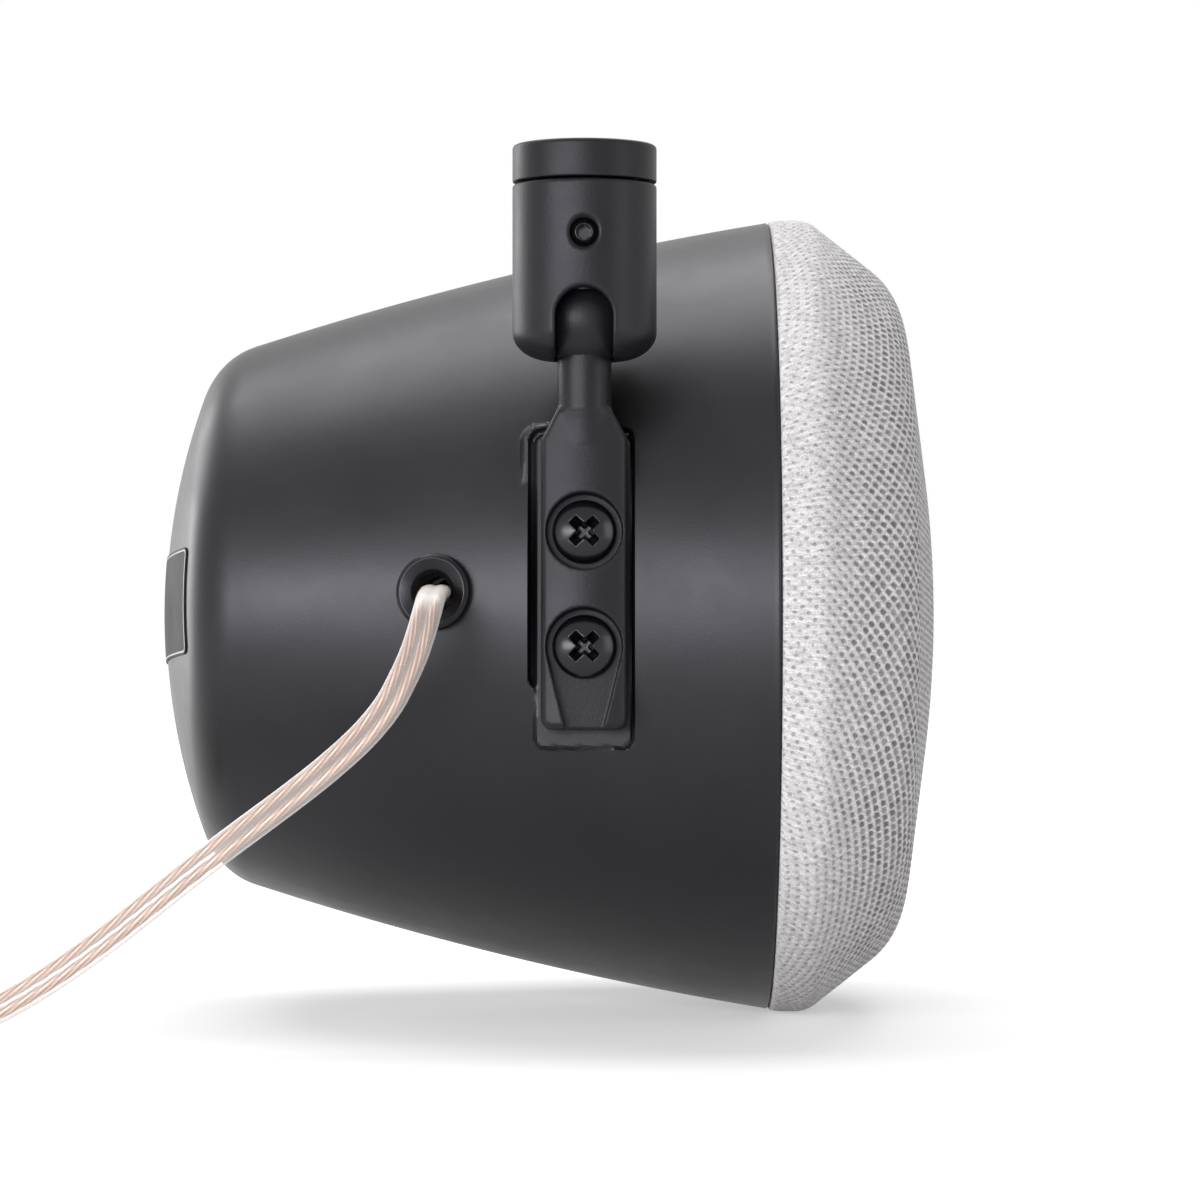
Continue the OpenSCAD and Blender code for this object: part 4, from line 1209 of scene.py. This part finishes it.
@dataclass
class Housing:
    """The moulded rear housing with the pad and pocket for the arm, its grommet and its bare label.

    Attributes:
        dome: The rear dome's centre along the axis, and its radius.
        corner: The corner's centre along the axis and out from it, and its radius.
        side: The side's centre along the axis and out from it, and its radius.
        bends: The angles in degrees where the dome meets the corner and the corner meets the side.
        front: Where the front edge is along the axis, and its radius.
        wall: The thickness of the wall.
        seat: How far back the seat of the front goes, its radius and the ledge's.
        pad: The depth of the pad's face from the pod's axis.
        groove: The depth of the groove beside the pad.
        ear: The depth of the ear's face.
        grommet_x: Where the grommet is along the axis.
        hole_r: The radius of the grommet's hole, which its flange covers.
        boss: The thickness of the wall behind the pad.
        label_size: Half the label's width and height, its corners' radius and its thickness.
        wool: Half the wadding's thickness, and its clearance from the wall.
    """

    dome: tuple[float, float] = (34.0, 102.0)
    corner: tuple[float, float, float] = (-49.9853, 32.3492, 12.0)
    side: tuple[float, float, float] = (118.533, -489.096, 560.0)
    bends: tuple[float, float] = (158.934, 107.91)
    front: tuple[float, float] = (29.0, 63.7)
    wall: float = 2.5
    seat: tuple[float, float, float] = (19.0, 60.0, 52.0)
    pad: float = 54.4151
    groove: float = 53.0151
    ear: float = 53.8151
    grommet_x: float = -22.3
    hole_r: float = 4.2
    boss: float = 3.6
    label_size: tuple[float, float, float, float] = (36.0, 8.25, 1.4, 0.25)
    wool: tuple[float, float] = (3.6, 0.6)

    def side_radius(self, x: Points | float) -> Points | float:
        """The side's radius at a place along the axis."""
        return self.side[1] + np.sqrt(self.side[2] ** 2 - (x - self.side[0]) ** 2)

    def outline(self, inset: float, xs: Sequence[float], dome_steps: int, corner_steps: int) -> Outline:
        """The outline from the middle of the dome to the front, as (along the axis, radius).

        Args:
            inset: How far inside the surface it runs.
            xs: The places on the side.
            dome_steps: Steps on the dome.
            corner_steps: Steps on the corner.

        Returns:
            The points.
        """
        points = arc((self.dome[0], 0), self.dome[1] - inset, 180, self.bends[0], dome_steps)
        points += arc(self.corner[:2], self.corner[2] - inset, *self.bends, corner_steps)[1:]
        side_x, side_y, radius = self.side
        slopes = np.arccos((np.array(xs) - side_x) / radius)
        radius -= inset
        return points + [(side_x + radius * math.cos(a), side_y + radius * math.sin(a)) for a in slopes]

    def depth(self, x: Points, z: Points, plain: Points) -> Points:
        """How far the side that faces the arm stands from the pod's axis.

        Args:
            x: Places along the axis.
            z: Heights from the axis.
            plain: The depth that the turned housing has there.

        Returns:
            The depth with the ear, the pocket and the pad in it.
        """
        def off(corners: Corners) -> Points:
            """The distance from an outline with rounded corners, seen from the arm's side."""
            return outline_distance(x, z, soften_ring(corners, 5))

        pad = off([(-7.4, -23.3, 1.4), (7.1, -23.3, 1.4), (7.1, 23.3, 1.4), (-7.4, 23.3, 1.4)])
        pocket = off([
            (-8.2, -13.5, 1.6), (-7.1, -14.4, 1.0), (-7.1, -23.3, 1.4), (7.1, -23.3, 1.4), (7.1, 24.4, 1.4),
            (-8.2, 24.4, 2.2),
        ])
        ear = off([(-9.3, 9.3, 0.5), (-4.6, 9.3, 0.5), (-4.6, 25.2, 1.5), (-9.3, 25.2, 3.0)])
        out = plain + (np.maximum(self.ear - plain, 0)) * (1 - blend_step(ear, -0.25, 0.55))
        out = out + (np.minimum(out, self.groove) - out) * (1 - blend_step(pocket, -0.3, 0.3))
        return out + (self.pad - out) * (1 - blend_step(pad, -0.3, 0.3))

    def shell(self) -> Shape:
        """The whole moulding, with a fine net over the pad and a plain one elsewhere.

        Returns:
            The mesh of the outside, the lip, the seat and the inside, with the grommet's hole in it.
        """
        xs = np.concatenate([
            np.arange(-46.4, -30, 2.0), np.arange(-30, -15, 1.0), np.arange(-15, -11, 0.6),
            np.arange(-11, 9.01, 0.25), np.arange(9.6, 28.2, 1.3), [28.5],
        ])
        spread = math.radians(28.5)
        fine = np.arange(-spread, spread, 0.34 / 58)
        rest = np.linspace(fine[-1], 2 * math.pi + fine[0], 150)[1:-1]
        turn = np.concatenate([fine, rest])
        front_x, front_r = self.front
        seat_x, seat_r, ledge_r = self.seat
        outer = self.outline(0, xs, 22, 16)
        outer[0] = (outer[0][0], 0.02)
        lip = arc((front_x - 0.5, front_r - 0.5), 0.5, 80, 0, 4)
        inner = self.outline(self.wall, (-46, -30, -13, -9.5, 0, 8, 11, 16.4), 8, 6)[::-1]
        inner[-1] = (inner[-1][0], 0.02)
        ledge = [(front_x, seat_r), (seat_x, seat_r), (seat_x, ledge_r), (seat_x - 2.5, ledge_r)]
        rows = np.array(outer + lip + ledge + inner)
        along = np.repeat(rows[:, :1], len(turn), 1)
        radius = rows[:, 1:]
        depth = radius * np.cos(turn)[None, :]
        height = radius * np.sin(turn)[None, :]
        inside = np.zeros(depth.shape, bool)
        inside[len(rows) - len(inner):] = True
        # Behind the pad the wall is thicker, for the brass inserts.
        faces_arm = (depth > 0) & (np.abs(height) < 30) & (along > -13) & (along < 12) & (radius > 20)
        thickened = np.minimum(depth, self.groove - self.boss)
        depth = np.where(faces_arm, np.where(inside, thickened, self.depth(along, height, depth)), depth)
        points = np.stack([along, POD_Y - depth, POD_Z + height], -1).reshape(-1, 3)
        faces = strips(len(rows), len(turn))
        middles = points[np.array(faces)].mean(1)
        away = np.hypot(middles[:, 0] - self.grommet_x, middles[:, 2] - POD_Z)
        keep = (away > self.hole_r) | (middles[:, 1] > POD_Y / 2)
        return Shape(points, [f for f, k in zip(faces, keep) if k])

    def at_grommet(self) -> Matrix:
        """The grommet's own frame.

        Returns:
            The matrix, with Z square out of the housing.
        """
        radius = float(self.side_radius(self.grommet_x))
        slope = math.acos((self.grommet_x - self.side[0]) / self.side[2]) - math.pi / 2
        place = upright_to_hung() @ Matrix.Translation((self.grommet_x, POD_Y - radius, POD_Z))
        return place @ Matrix.Rotation(-slope, 4, "Z") @ Matrix.Rotation(math.pi / 2, 4, "X")

    def grommet(self) -> Shape:
        """The rubber grommet.

        Returns:
            The mesh of a ring with a dished flange, a flared mouth and a waist in the housing's hole.
        """
        profile = soften([
            (-4.4, 2.45, 0), (0.6, 2.45, 0.7), (1.45, 3.35, 0.5), (1.95, 5.05, 0.3), (1.5, 5.65, 0.3),
            (0.9, 5.75, 0.3), (0.05, 5.75, 0.2), (0.02, 4.5, 0.1), (-2.95, 4.5, 0.1), (-2.95, 5.35, 0.2),
            (-4.4, 4.8, 0.2), (-4.4, 2.45, 0),
        ], 5)
        return turned(profile[:-1], closed=True).moved(self.at_grommet())

    def label(self) -> Shape:
        """A bare film patch on the dome with rounded corners, and a pale unprinted margin.

        Returns:
            The closed mesh, whose second slot is the margin.
        """
        half_w, half_h, corner, thick = self.label_size
        radius = self.dome[1] + 0.03
        edge = np.array([0.0, 0.3, 0.55, 1.25])

        def spaced(half: float, inner: Points) -> Points:
            """Places across the label, close together at its margin."""
            return np.concatenate([edge - half, inner, (half - edge)[::-1]])

        grid_u, grid_v = np.meshgrid(
            spaced(half_w, np.linspace(-33, 33, 34)), spaced(half_h, np.linspace(-6, 6, 9)), indexing="ij")
        over_u = np.maximum(np.abs(grid_u) - (half_w - corner), 0)
        over_v = np.maximum(np.abs(grid_v) - (half_h - corner), 0)
        reach = np.maximum(over_u, over_v) / np.maximum(np.hypot(over_u, over_v), 1e-9)
        reach = np.where((over_u > 0) & (over_v > 0), reach, 1.0)
        grid_u = np.sign(grid_u) * (np.abs(grid_u) - over_u + over_u * reach)
        grid_v = np.sign(grid_v) * (np.abs(grid_v) - over_v + over_v * reach)

        def on_dome(u: Points, v: Points, r: float) -> Points:
            """Points at a radius from the dome's centre."""
            x = self.dome[0] - np.sqrt(r * r - u * u - v * v)
            return np.stack([x, POD_Y + u, POD_Z + v], -1).reshape(-1, 3)

        top = on_dome(grid_u, grid_v, radius + thick)
        rows, columns = grid_u.shape
        faces = strips(rows, columns, closed=False)
        # The margin is the second ring of faces from the edge.
        slots = [
            int(min(r, c, rows - 2 - r, columns - 2 - c) == 1)
            for r in range(rows - 1) for c in range(columns - 1)
        ]
        rim = [r * columns for r in range(rows)] + [(rows - 1) * columns + c for c in range(1, columns)]
        rim += [r * columns + columns - 1 for r in range(rows - 2, -1, -1)] + list(range(columns - 2, 0, -1))
        under = on_dome(grid_u.reshape(-1)[rim], grid_v.reshape(-1)[rim], radius)
        n = len(top)
        after = [*range(1, len(rim)), 0]
        faces += [(rim[i], rim[j], n + j, n + i) for i, j in enumerate(after)]
        faces.append(tuple(range(n, n + len(rim))))
        slots += [0] * (len(rim) + 1)
        return Shape(np.vstack([top, under]), faces, slots).moved(upright_to_hung())

    def wadding(self) -> Shape:
        """A soft sheet of wool that lies loosely inside the dome.

        Returns:
            The closed mesh, with its lumps on both sides and a round edge.
        """
        rng = np.random.default_rng(7)
        waves = rng.uniform(-1, 1, (14, 4))
        half_thick, clear = self.wool
        edge = np.linspace(0.2, math.pi / 2, 5)
        radii = np.concatenate([np.linspace(0.3, 30, 16), 30 + 1.9 * np.sin(edge)])[:, None]
        plump = np.concatenate([np.ones(16), np.cos(edge)])[:, None]
        angle = around(96)
        y, z = radii * np.cos(angle), radii * np.sin(angle)
        lumps = sum(0.12 * np.sin(0.25 * (w[0] * y + w[1] * z) + 6 * w[2]) * (1 + w[3]) for w in waves)
        layers = []
        for side in (-1, 1):
            shell = self.dome[1] - self.wall - clear - half_thick - (side * half_thick + lumps) * plump
            x = self.dome[0] - np.sqrt(shell ** 2 - y * y - z * z)
            layers.append(np.stack([x, POD_Y + y, POD_Z + z], -1))
        points = np.vstack([layers[0].reshape(-1, 3), layers[1][::-1].reshape(-1, 3)])
        return Shape(points, strips(2 * len(radii), len(angle), capped=True)).moved(upright_to_hung())

    def build(self) -> None:
        """Makes the moulding, the grommet, the label and the wadding."""
        shell = self.shell().moved(upright_to_hung()).object("rear_moulding", [ABS_MOULDED.make()], 32)
        fit(shell, "pod", "housing_plastic", "rear_housing")
        grommet = self.grommet().object("lead_grommet", [EPDM.make()], 40)
        fit(grommet, "pod", "black_rubber", "cable_grommet")
        label = self.label().object("bare_label", [POLYESTER.make(), POLYESTER_EDGE.make()], 30)
        fit(label, "pod", "label_film", "rating_label")
        wool = self.wadding().object("dome_wadding", [FELT.make()], None)
        fit(wool, "pod", "wadding_felt", "wadding")


# ---- the knitted front --------------------------------------------------------------------------


@dataclass
class KnitFront:
    """The knitted cloth, pulled over the moulded front and folded in behind its edge.

    Attributes:
        seam_x: Where the cloth turns in behind the edge, along the pod's axis.
        band_r: The radius of the straight band.
        turn_in_r: The radius at which the turned-in hem ends.
        pitch: The distance between neighbouring holes.
        sink: How deep a hole's middle lies.
        rise: How far a crossing of two threads stands up.
        closing: How much shallower the holes are near the hem, and the distances between which that sets in.
        flat: How far from the hem's end the relief starts to go, and how far from it the relief is gone.
    """

    seam_x: float = 29.1
    band_r: float = 64.0
    turn_in_r: float = 60.4
    pitch: float = 1.48
    sink: float = 0.34
    rise: float = 0.1
    closing: tuple[float, float, float] = (0.55, 66.0, 74.0)
    flat: tuple[float, float] = (6.0, 3.0)

    def outline(self) -> Points:
        """The front's outline from its middle to the hem.

        Returns:
            The points, as (along the axis, radius).
        """
        points = arc((-120.294, 0), 176.0, 0, 8.6, 40)
        points += arc((37.6602, 45.623), 13.0, 8.6, 52.1, 24)
        points += arc((33.5, 59.0), 5.0, 52.1, 90, 16)
        points += soften([
            (33.5, self.band_r, 0), (self.seam_x + 1.2, self.band_r, 0),
            (self.seam_x, self.band_r - 0.1, 0.7), (self.seam_x, self.turn_in_r, 0),
        ], 5)[1:]
        return np.array(points)

    def lattice(self, reach: float) -> tuple[Points, Points, Points, Points, Points]:
        """Lays out the flat cloth as a lattice along both diagonals, with three steps to a pitch.

        Args:
            reach: The radius that the cloth was cut to.

        Returns:
            The points' numbers along both diagonals, their two places on the cloth, and their quads.
        """
        step = self.pitch / 3
        half = int(reach / step) + 2
        index = np.arange(-half, half + 1)
        a, b = np.meshgrid(index, index, indexing="ij")
        u, v = (a + b) * step / math.sqrt(2), (a - b) * step / math.sqrt(2)
        s = np.hypot(u, v)
        inside = s <= reach
        used = inside.copy()
        for da in (-1, 0, 1):
            for db in (-1, 0, 1):
                used |= np.roll(np.roll(inside, da, 0), db, 1)
        share = np.where(s > reach, reach / np.maximum(s, 1e-9), 1)
        number = np.full(s.shape, -1)
        number[used] = np.arange(int(used.sum()))
        quads, corners_in = [
            np.stack([n[:-1, :-1], n[1:, :-1], n[1:, 1:], n[:-1, 1:]], -1).reshape(-1, 4)
            for n in (number, inside)
        ]
        quads = quads[(quads >= 0).all(1) & corners_in.any(1)]
        return a[used], b[used], (u * share)[used], (v * share)[used], quads

    def build(self) -> None:
        """Makes the cloth."""
        line = self.outline()
        way = walked(line)
        reach = float(way[-1])
        a, b, u, v, quads = self.lattice(reach)
        s = np.minimum(np.hypot(u, v), reach)
        x, radius = [np.interp(s, way, line[:, k]) for k in (0, 1)]
        tangent_x, tangent_r = [np.interp(s, way, t) for t in np.gradient(line, way, axis=0).T]
        size = np.hypot(tangent_x, tangent_r)
        share, first, last = self.closing
        at_hole = (a % 3 == 0) & (b % 3 == 0)
        lift = np.where(at_hole, -self.sink * (1 - share * blend_step(s, first, last)), 0.0)
        lift += np.where((a % 3 != 0) & (b % 3 != 0), self.rise, 0.0)
        lift *= 1 - blend_step(s, reach - self.flat[0], reach - self.flat[1])
        x = x + tangent_r / size * lift
        radius = radius - tangent_x / size * lift
        direction = np.where(s > 1e-6, 1 / np.maximum(s, 1e-9), 0)
        points = np.stack([x, POD_Y - radius * u * direction, POD_Z + radius * v * direction], -1)
        cloth = Shape(points, list(map(tuple, quads.tolist()))).moved(upright_to_hung())
        piece = cloth.object("knitted_front", [MeshKnit(self.pitch).make()], None)
        flat = np.stack([u, v, np.zeros_like(u)], -1).reshape(-1)
        piece.data.attributes.new("cloth", "FLOAT_VECTOR", "POINT").data.foreach_set("vector", flat)
        fit(piece, "pod", "knit", "grille_fabric")
        log.info("the cloth was cut to a disc of %.0f mm", 2 * reach)


# ---- the mount and the arm ----------------------------------------------------------------------


@dataclass
class MountHead:
    """The collar that is screwed overhead, the socket that turns under it and the grub screw.

    Attributes:
        radius: The radius of both.
        collar_h: The collar's height.
        seam: The gap between collar and socket.
        bottom: How far down the socket goes.
        thread: The radius of the hole, the depth of the thread in it and its pitch.
        grub_z: The grub screw's height.
        grub_r: The grub screw's radius.
        seat_r: The radius of the ball's seat and of the bore for the spigot.
        notch_r: Half the width of the notch that lets the stem out, and the radius of the mouth below.
        foot: How far the rounding of the socket's foot goes in and up.
    """

    radius: float = 10.7
    collar_h: float = 5.5
    seam: float = 0.3
    bottom: float = -31.9
    thread: tuple[float, float, float] = (4.05, 0.62, 1.25)
    grub_z: float = -13.7
    grub_r: float = 2.0
    seat_r: float = 7.05
    notch_r: float = 4.25
    foot: tuple[float, float] = (5.7, 4.2)

    def collar(self) -> Shape:
        """The turned collar with its spigot and the M8 thread in it.

        Returns:
            The mesh.
        """
        hole_r, thread_depth, pitch = self.thread
        columns = 96
        body = turned(soften([
            (-0.5, hole_r, 0), (0, 4.55, 0.15), (0, self.radius - 0.1, 0.5), (-0.6, self.radius, 0.3),
            (-self.collar_h, self.radius, 0.25), (-self.collar_h, 7.0, 0.15), (-12.8, 7.0, 0.1),
            (-12.8, 6.1, 0.1), (-14.6, 6.1, 0.1), (-14.9, 7.0, 0.1), (-15.9, 7.0, 0.25), (-15.9, 0.02, 0),
        ], 4), columns)
        rows = np.arange(0.5, 12.0, 0.14)[:, None]
        angle = around(columns)[None, :]
        phase = (rows / pitch + angle / (2 * math.pi)) % 1
        # A sharp sided ridge with a flat crest and root, which fades in over the first 0.9 mm.
        ridge = np.clip(np.abs(phase - 0.5) * 2.5 - 0.12, 0, 1)
        radius = hole_r - thread_depth * ridge * np.clip((rows - 0.5) / 0.9, 0, 1)
        points = np.stack([
            radius * np.cos(angle), radius * np.sin(angle), np.repeat(-rows, columns, 1)
        ], -1).reshape(-1, 3)
        faces = [f[::-1] for f in strips(len(rows), columns)]
        faces.append(tuple(range((len(rows) - 1) * columns, len(points))))
        return body.plus(Shape(points, faces))

    def socket_field(self, x: Points, y: Points, z: Points) -> Points:
        """The signed distance to the socket.

        Args:
            x: Places along the pod's axis.
            y: Places across it, away from the arm's side.
            z: Heights.

        Returns:
            The distance, below 0 inside the casting.
        """
        r = np.hypot(x, y)
        top = -self.collar_h - self.seam
        foot = [
            (self.radius - self.foot[0] * (1 - math.cos(a)), self.bottom + self.foot[1] * (1 - math.sin(a)))
            for a in map(math.radians, range(0, 91, 5))
        ]
        edge = [(-2.0, top), (self.radius - 0.35, top), (self.radius, top - 0.35)]
        solid = outline_distance(r, z, edge + foot + [(-2.0, self.bottom)])
        ball = np.sqrt(x * x + y * y + (z - BALL_Z) ** 2) - self.seat_r
        bore = either(both(r - self.seat_r, BALL_Z - z, 0), ball, 0.0)
        mouth = both(r - self.notch_r, z - BALL_Z, 0)
        notch = np.where(z > BALL_Z, np.hypot(x, z - BALL_Z), np.abs(x)) - self.notch_r
        notch = both(notch, y, 0)
        grub = np.hypot(x, z - self.grub_z) - self.grub_r
        hole = both(grub - 0.05, y, 0)
        sunk = both(grub - (-y - 10.0) * 0.9, y + 9.0, 0)
        solid = without(solid, bore, 0.2)
        solid = without(solid, np.minimum(mouth, notch), 0.55)
        return without(solid, np.minimum(hole, sunk), 0.12)

    def grub_field(self, x: Points, y: Points, z: Points) -> Points:
        """The signed distance to the grub screw, with its coned face, its hexagon and its point.

        Args:
            x: Places along the pod's axis.
            y: Places along the screw's axis, inward.
            z: Heights.

        Returns:
            The distance, below 0 inside the screw.
        """
        r = np.hypot(x, z - self.grub_z)
        out = -y
        body = both(both(r - self.grub_r, out - 10.2, 0.2), 7.15 - out, 0.1)
        body = both(body, (out - 10.2 + (r - 1.2) * 0.9) * 0.74, 0.08)
        tip = both(both(r - 1.0, out - 9.2, 0), 6.25 - out, 0.1)
        flats = [np.abs(x * math.cos(a) + (z - self.grub_z) * math.sin(a)) for a in np.radians((0, 60, 120))]
        hexagon = np.maximum(np.maximum(flats[0], flats[1]), flats[2]) - 1.02
        key = both(hexagon, 7.5 - out, 0)
        mouth = r - 1.02 - (out - 10.0) * 0.8
        return without(either(body, tip, 0.05), np.minimum(key, mouth), 0.05)

    def build(self) -> None:
        """Makes the collar, the socket and the grub screw."""
        collar = self.collar().object("collar_turned", [POWDER_TURNED.make()], 35)
        fit(collar, "collar", "cast_black", "mount_collar")
        socket = net(self.socket_field, (-11.2, -11.2, -32.4), (11.2, 11.2, -5.3), 0.29)
        piece = socket.object("socket_casting", [POWDER_COAT.make()], None)
        fit(piece, "socket", "cast_black", "socket_body")
        grub = net(self.grub_field, (-2.3, -10.5, self.grub_z - 2.3), (2.3, -6.0, self.grub_z + 2.3), 0.075)
        piece = grub.object("grub_screw_m4", [BLACK_OXIDE.make()], None)
        fit(piece, "socket", "black_steel", "grub_screw")


@dataclass
class PivotArm:
    """The arm with its stem, shoulders and crowned plate, and its two screws.

    Attributes:
        stem_r: The stem's radius.
        width: The plate's width.
        crown: The place and radius of the plate's round front, out from the stem's axis.
        back: The plane of the plate's back.
        ends: From the ball's centre down to the shoulders' top, their foot and the plate's end.
        floor: The plane of the recesses' floor.
        screw_zs: The heights of the two screws.
        recess_r: The radius of a recess.
        exit_half: Half the width of the lower recess at the plate's end.
        exit_drop: How far below the lower screw that width is measured.
        head: The radius of a screw's head, the radius of its crown and the crown's height.
        shank: The radius of a screw's shank and its length.
        cross: Half the length and half the width of a cross recess's wings, and the height of its floor.
    """

    stem_r: float = 4.0
    width: float = 12.8
    crown: tuple[float, float] = (12.0, 15.0)
    back: float = 4.0
    ends: tuple[float, float, float] = (13.5, 17.9, 60.7)
    floor: float = 0.3
    screw_zs: tuple[float, float] = (-57.4, -74.4)
    recess_r: float = 5.7
    exit_half: float = 2.55
    exit_drop: float = 13.1
    head: tuple[float, float, float] = (4.75, 6.89, 3.2)
    shank: tuple[float, float] = (2.5, 10.8)
    cross: tuple[float, float, float] = (2.75, 0.78, -0.5)

    def field(self, x: Points, y: Points, z: Points) -> Points:
        """The signed distance to the upright arm.

        Args:
            x: Places along the pod's axis.
            y: Places across it, towards the pod.
            z: Heights.

        Returns:
            The distance, below 0 inside the casting.
        """
        top, low, end = self.ends
        half = self.width / 2
        outline = [
            (-self.stem_r, BALL_Z - top, 0.8), (-half, BALL_Z - low, 1.5), (-half, BALL_Z - end, 1.6),
            (half, BALL_Z - end, 1.6), (half, BALL_Z - low, 1.5), (self.stem_r, BALL_Z - top, 0.8),
        ]
        plate = outline_distance(x, z, soften_ring(outline, 6))
        front = np.hypot(x, y - self.crown[0]) - self.crown[1]
        plate = both(plate, front, 0.85)
        plate = both(plate, y - self.back, 0.35)
        drop = BALL_Z - z
        thin = np.clip((drop - top) / (low + 1 - top), 0, 1) * 1.2
        stem = both(both(np.hypot(x, y) - self.stem_r + thin, drop - low - 1, 0.4), 4.6 - drop, 0.0)
        arm = either(plate, stem, 0.7)
        upper = np.hypot(x, z - self.screw_zs[0]) - self.recess_r
        # The lower recess narrows to the plate's end between two lines that touch its circle.
        side = math.atan2(-self.exit_drop, self.exit_half)
        turn = math.degrees(side + math.acos(self.recess_r / math.hypot(self.exit_drop, self.exit_half)))
        fan = [(self.exit_half, -self.exit_drop)] + arc((0, 0), self.recess_r, turn, 180 - turn, 48)
        lower = outline_distance(x, z - self.screw_zs[1], fan + [(-self.exit_half, -self.exit_drop)])
        for recess in (upper, lower):
            arm = without(arm, both(recess, y - self.floor, 0.0), 0.3)
        for height in self.screw_zs:
            arm = without(arm, np.hypot(x, z - height) - 2.8, 0.1)
        return arm

    def screw_field(self, height: float) -> Field:
        """The signed distance to a pan head screw.

        Args:
            height: The screw's height.

        Returns:
            The function that gives the distance.
        """
        head_r, crown_r, crown_h = self.head
        shank_r, shank_h = self.shank
        wing, blade, cross_floor = self.cross

        def distance(x: Points, y: Points, z: Points) -> Points:
            """The signed distance to the screw.

            Args:
                x: Places along the pod's axis.
                y: Places across it, towards the pod.
                z: Heights.

            Returns:
                The distance, below 0 inside the screw.
            """
            r = np.hypot(x, z - height)
            out = self.floor - y
            head = both(both(r - head_r, np.hypot(r, out + crown_r - crown_h) - crown_r, 0.55), -out, 0.15)
            shank = both(both(r - shank_r, out - 0.5, 0), -shank_h - out, 0.4)
            deep = crown_h - out
            a = np.abs(x + z - height) / math.sqrt(2)
            b = np.abs(x - z + height) / math.sqrt(2)
            first = np.maximum(a - wing + 0.42 * deep, b - blade + 0.1 * deep)
            second = np.maximum(b - wing + 0.42 * deep, a - blade + 0.1 * deep)
            cross = np.minimum(np.minimum(first, second), r - 1.3 + 0.3 * deep)
            return without(either(head, shank, 0.1), both(cross, cross_floor - out, 0.15), 0.12)

        return distance

    def build(self) -> None:
        """Makes the arm and its screws."""
        arm = net(self.field, (-6.8, -4.4, BALL_Z - 61.2), (6.8, 4.4, BALL_Z - 4.2), 0.25)
        hung = upright_to_hung()
        piece = arm.moved(hung).object("arm_casting", [POWDER_COAT.make()], None)
        fit(piece, "pod", "cast_black", "bracket_arm")
        for name, height in zip(("upper", "lower"), self.screw_zs):
            low, high = (-5.0, -3.3, height - 5.0), (5.0, 11.4, height + 5.0)
            screw = net(self.screw_field(height), low, high, 0.14)
            piece = screw.moved(hung).object(f"pan_screw_{name}", [BLACK_OXIDE.make()], None)
            fit(piece, "pod", "black_steel", f"bracket_screw_{name}")


# ---- all of it ----------------------------------------------------------------------------------


def dress_kept_nodes() -> None:
    """Gives the CAD nodes that stay their materials."""
    for finish, names in KEPT_NODES:
        for name in names:
            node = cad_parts[name]
            if not node.material_slots:
                node.data.materials.append(finish.make())
            for place in node.material_slots:
                place.material = finish.make()
            log.info("%s: %s", name, finish.name)


def main() -> None:
    """Builds the studio and every visible piece."""
    logging.basicConfig(level=logging.INFO, format="%(name)s: %(message)s")
    Studio().build()
    SpeakerLead().build()
    Housing().build()
    KnitFront().build()
    MountHead().build()
    PivotArm().build()
    dress_kept_nodes()


if __name__ == "__main__":
    main()
